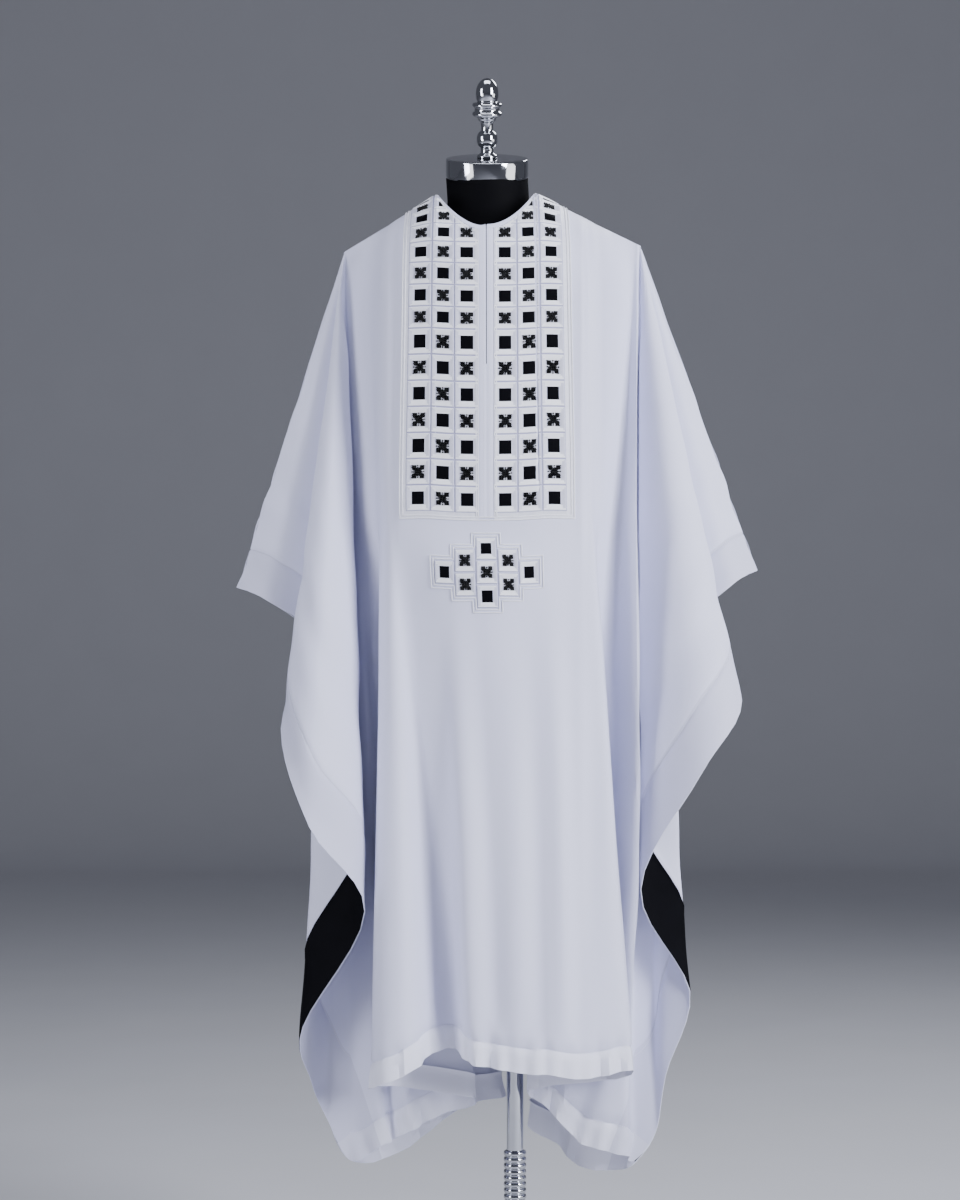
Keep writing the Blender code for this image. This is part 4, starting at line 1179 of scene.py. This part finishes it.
def make_placket(front, chart):
    """The narrow strips on both sides of the neck slit, which go on down to the chest border."""
    left_x, right_x = PLACKET_MIDDLE
    xs = np.concatenate([np.linspace(PLACKET[0], left_x, 5), np.linspace(right_x, PLACKET[1], 5)])
    middle = front.points[front.names["centre"], round(front.ring(KNEE)), 0]
    xs = np.sort(np.append(xs, [middle - 0.0006, middle + 0.0006]))
    ys = np.linspace(BORDER_LOW + 0.004, BLOCK_TOP, 141)
    x, y = np.meshgrid(xs, ys, indexing="ij")
    centre_x, centre_y = (x[:-1, :-1] + x[1:, 1:]) / 2, (y[:-1, :-1] + y[1:, 1:]) / 2
    slit_low = float(np.interp(SLIT_ENDS, front.rings, chart.heights[front.names["centre"] - chart.first]))
    in_slit = (np.abs(centre_x - middle) < 0.0008) & (centre_y > slit_low)
    keep = (centre_y < chart.top(centre_x) - 0.004) & ~in_slit
    edge = np.minimum(x - PLACKET[0], PLACKET[1] - x)
    fold = np.abs(x - middle)
    height = 0.0009 + 0.0005 * np.minimum(1, edge / 0.0015) - 0.0005 * bump_at(0, 0.0012, fold)
    outer, inner = chart.at(x, y, ON_CLOTH + height), chart.at(x, y, np.full(x.shape, ON_CLOTH))
    piece = shell("placket_strips", outer, inner, suiting, 1, np.stack([x, y], axis=-1), keep)
    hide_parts("placket")
    left, right, low, lift = middle - 0.0040, middle + 0.0040, slit_low - 0.003, ON_CLOTH + 0.0014
    paths = [[(x, chart.top(x) - 0.011), (x, BORDER_LOW + 0.006)] for x in (left, right)]
    lines = [chart.line(path, lift) for path in (*paths, [(left, low), (right, low)])]
    return piece, sewn("placket_stitches", lines, length=0.0024, spacing=0.0028, thickness=0.0007)


# ---------------------------------------------------------------- the form and its stand

FORM_SECTIONS = (
    # z, half width, half depth of the torso and neck
    (0.9700, 0.100, 0.060),
    (0.9780, 0.126, 0.078),
    (1.0000, 0.138, 0.086),
    (1.1000, 0.150, 0.096),
    (1.2200, 0.163, 0.106),
    (1.3400, 0.177, 0.114),
    (1.4500, 0.188, 0.114),
    (1.5300, 0.191, 0.104),
    (1.5900, 0.180, 0.086),
    (1.6250, 0.143, 0.074),
    (1.6500, 0.098, 0.066),
    (1.6720, 0.070, 0.063),
    (1.6920, 0.0612, 0.0610),
    (1.7270, 0.0615, 0.0615),
)
FORM_LEAN = (-0.0420, 0.0, 0.757)  # sideways shift of the neck over the height of the form
CAP_TILT = math.radians(15)
CAP_HEIGHT, CAP_RADIUS, CAP_GROOVE = 0.0310, 0.0618, 0.0606


def form_middle(z):
    share = (z - FORM_SECTIONS[0][0]) / FORM_LEAN[2]
    return Vector((FORM_LEAN[0] * share, 0, z))


def make_form():
    """The smooth limbless torso and neck, closed below and under the neck cap."""
    sides, table = 96, np.array(FORM_SECTIONS)
    spots = [0.0, 0.35, 0.7]
    for k in range(1, len(table) - 1):
        spots += [k + share for share in (0.0, 0.25, 0.5, 0.75)]
    spots.append(len(table) - 1.0)
    sections = []
    for spot in spots:
        i = min(int(spot), len(table) - 2)
        t = spot - i
        before, start, end, after = (table[min(max(i + n, 0), len(table) - 1)] for n in (-1, 0, 1, 2))
        smooth = spline(before, start, end, after, t)
        sections.append(smooth if 1 < spot < len(table) - 2 else start + (end - start) * t)
    points, faces = [], []
    for z, half_width, half_depth in sections:
        middle = form_middle(z)
        for k in range(sides):
            turn = 2 * math.pi * k / sides
            points.append(middle + Vector((half_width * math.cos(turn), half_depth * math.sin(turn), 0)))
    for level in range(len(sections) - 1):
        for k in range(sides):
            a, b = level * sides + k, level * sides + (k + 1) % sides
            faces.append((a, b, b + sides, a + sides))
    top = (len(sections) - 1) * sides
    for index in range(top, top + sides):
        points[index].z += points[index].y * math.tan(CAP_TILT)
    faces.append(tuple(reversed(range(sides))))
    faces.append(tuple(range(top, top + sides)))
    piece = add_piece("jersey_form", points, faces, jersey)
    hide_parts("form_torso")
    return piece


def make_cap_and_finial():
    """The tilted neck cap and the turned finial that stands on it."""
    place = Matrix.Translation(form_middle(FORM_SECTIONS[-1][0])) @ Matrix.Rotation(CAP_TILT, 4, "X")
    profile = [(0, CAP_HEIGHT), (0.0240, CAP_HEIGHT), (0.0560, CAP_HEIGHT - 0.0004)]
    profile += [(CAP_RADIUS, CAP_HEIGHT - 0.0012), (CAP_RADIUS, 0.0040)]
    profile += [(CAP_GROOVE, 0.0034), (CAP_GROOVE, 0.0012), (0, 0.0012)]
    cap = turned("chrome_cap", rounded(profile, 0.0016), chrome, place=place)
    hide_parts("neck_cap")
    knob = [(0.0, 0.1180)]
    knob += arc(0.0, 0.0950, 0.0171, 0.0230, np.linspace(0.12, 2.1, 19))
    knob += [(0.0160, 0.0826), (0.0212, 0.0812), (0.0225, 0.0790), (0.0222, 0.0770)]
    knob += [(0.0190, 0.0745), (0.0186, 0.0720), (0.0190, 0.0695), (0.0222, 0.0668), (0.0225, 0.0645)]
    knob += [(0.0212, 0.0622), (0.0140, 0.0592), (0.0128, 0.0550)]
    knob += [(0.0095, 0.0525), (0.0090, 0.0460), (0.0090, 0.0410)]
    knob += arc(0.0085, 0.0275, 0.0072, 0.0122, np.linspace(0.20, 2.94, 15))
    knob += [(0.0097, 0.0130), (0.0097, 0.0085), (0.0112, 0.0062)]
    knob += [(0.0150, 0.0040), (0.0152, 0.0), (0.0, 0.0)]
    seat = place @ Matrix.Translation((0, 0, CAP_HEIGHT + GAP))
    finial = turned("chrome_finial", rounded(knob, 0.0010, 2), chrome, sides=64, place=seat)
    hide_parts("finial")
    return [cap, finial]


def make_pole():
    """The chrome socket under the form and the upper pole, which slide with the form."""
    (_, _, socket_low), (socket_x, _, socket_top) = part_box("pole_socket")
    (_, _, pole_low), (pole_x, _, pole_top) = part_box("upper_pole")
    bore = pole_x + GAP
    top = (socket_x - 0.002, socket_top)
    profile = [top, (socket_x, socket_top), (socket_x, socket_top - 0.006), (0.0180, socket_low)]
    profile += [(bore, socket_low), (bore, socket_top), top]
    socket = turned("chrome_socket", rounded(profile, 0.0008)[:-1], chrome, bore=True)
    levels = (pole_top, (pole_top + pole_low) / 2, pole_low)
    profile = [(0, pole_top), *[(pole_x, z) for z in levels], (0, pole_low)]
    pole = turned("chrome_pole", rounded(profile, 0.0006), chrome)
    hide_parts("pole_socket")
    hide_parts("upper_pole")
    return [socket, pole]


def make_base():
    """The lower tube, its ribbed clamping collar and the round base."""
    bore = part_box("upper_pole")[1].x + GAP
    (_, _, tube_low), (tube_x, _, tube_top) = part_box("lower_tube")
    (_, _, collar_low), (collar_x, _, collar_top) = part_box("ribbed_collar")
    base_x, _, base_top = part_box("base_plate")[1]
    profile = [(tube_x, tube_top), (tube_x, tube_low), (bore, tube_low), (bore, tube_top)]
    pipe = turned("chrome_tube", profile, chrome, bore=True)
    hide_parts("lower_tube")
    count, depth, ribbed = 11, 0.0024, 0.92  # the collar's ribs, their depth, and a rib's share of the pitch
    pitch, profile = (collar_top - collar_low) / count, []
    for k in range(count):
        for t in np.linspace(0.0, ribbed, 9):
            round_share = math.sqrt(max(0.0, math.sin(math.pi * min(1.0, t / ribbed))))
            profile.append((collar_x - depth * (1 - round_share), collar_top - (k + t) * pitch))
    profile += [(collar_x - depth, collar_low), (bore, collar_low), (bore, collar_top)]
    collar = turned("chrome_collar", profile, chrome, bore=True, sharp=50)
    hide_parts("ribbed_collar")
    dome = [(0, base_top), (0.0260, base_top), (0.0300, base_top - 0.004), (0.0300, base_top - 0.0160)]
    for t in np.linspace(0.06, 1.5, 18):
        dome.append((0.030 + (base_x - 0.032) * math.sin(t), 0.008 + 0.022 * math.cos(t) ** 1.5))
    dome += [(base_x, 0.0060), (base_x, 0.0), (0, 0.0)]
    plate = turned("chrome_base", rounded(dome, 0.0015), chrome, sides=128)
    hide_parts("base_plate")
    return [pipe, collar, plate]


# ---------------------------------------------------------------- the stage


# Each light's name, place, aim, size, power and colour
LIGHTS = (
    ("key_light", (2.4, -2.1, 2.0), (-0.05, 0, 1.15), (0.9, 1.9), 185, (0.88, 0.91, 1.0)),
    ("fill_light", (-2.5, -1.5, 1.7), (-0.1, 0, 1.0), (0.8, 1.8), 52, (0.86, 0.89, 1.0)),
    ("top_light", (0.0, -0.6, 3.4), (0, 0, 1.2), (1.6, 1.0), 28, (0.88, 0.91, 1.0)),
    ("right_card", (2.7, -0.9, 1.15), (0, 0, 1.7), (1.5, 0.8), 12, (1, 1, 1)),
    ("back_light", (1.6, 2.6, 3.7), (0, 0, 1.0), (1.6, 1.0), 60, (0.90, 0.93, 1.0)),
    ("left_card", (-2.4, -1.9, 0.9), (0, 0, 1.7), (1.1, 0.7), 8, (1, 1, 1)),
)
ROOM_COLOUR, ROOM_STRENGTH = (0.80, 0.84, 1.0, 1), 0.13
CAMERA_PLACE, CAMERA_LENS, CAMERA_SENSOR = (-0.0525, -4.5, 1.095), 90, 36


def add_light(name, place, aim, size, power, colour):
    light = bpy.data.lights.new(name, "AREA")
    light.shape, (light.size, light.size_y) = "RECTANGLE", size
    light.energy, light.color = power, colour
    lamp = bpy.data.objects.new(name, light)
    lamp.location = place
    lamp.rotation_euler = (Vector(aim) - Vector(place)).to_track_quat("-Z", "Y").to_euler()
    bpy.context.collection.objects.link(lamp)


def make_stage():
    """A pale floor that sweeps up behind, soft lights and the camera."""
    backdrop = plain_finish("pale_paper", (0.60, 0.60, 0.63), (0.63, 0.63, 0.66), 0.9, 4.0, 0.0)
    reach, rise, bend, start = 12.0, 8.0, 2.0, 7.5
    profile = [(-reach, 0.0), (start, 0.0)]
    for turn in np.linspace(0.05, math.pi / 2, 24):
        profile.append((start + bend * math.sin(turn), bend * (1 - math.cos(turn))))
    profile.append((start + bend, rise))
    points = [(side * reach, y, z) for y, z in profile for side in (-1, 1)]
    faces = [(2 * k, 2 * k + 1, 2 * k + 3, 2 * k + 2) for k in range(len(profile) - 1)]
    add_piece("floor", points, faces, backdrop, sharp=60)
    for light in LIGHTS:
        add_light(*light)
    world = bpy.data.worlds.new("soft_room")
    bpy.context.scene.world = world
    world.use_nodes = True
    background = world.node_tree.nodes["Background"].inputs
    background["Color"].default_value, background["Strength"].default_value = ROOM_COLOUR, ROOM_STRENGTH
    camera = bpy.data.cameras.new("camera")
    camera.lens, camera.sensor_width = CAMERA_LENS, CAMERA_SENSOR
    viewer = bpy.data.objects.new("camera", camera)
    viewer.location = CAMERA_PLACE
    viewer.rotation_euler = (math.pi / 2, 0, 0)
    bpy.context.collection.objects.link(viewer)
    bpy.context.scene.camera = viewer


make_stage()
front, back = Panel(FRONT_ROWS, -1), Panel(BACK_ROWS, 1)
chart = Chart(front)
front_cloth, front_hem, front_facings, front_thread = make_panel_pieces(front, "front", True)
back_cloth, back_hem, back_facings, back_thread = make_panel_pieces(back, "back", False)
embroidery = make_embroidery(chart)
bindings = make_neck(front, back)
strips, strip_thread = make_placket(front, chart)
form = make_form()

moving = [front_cloth, front_hem, *front_facings, *front_thread]
moving += [back_cloth, back_hem, *back_facings, *back_thread]
moving += [*embroidery, *bindings, strips, strip_thread, form, *make_cap_and_finial(), *make_pole()]
for piece in moving:
    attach(piece, "form")
for piece in make_base():
    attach(piece, "base")
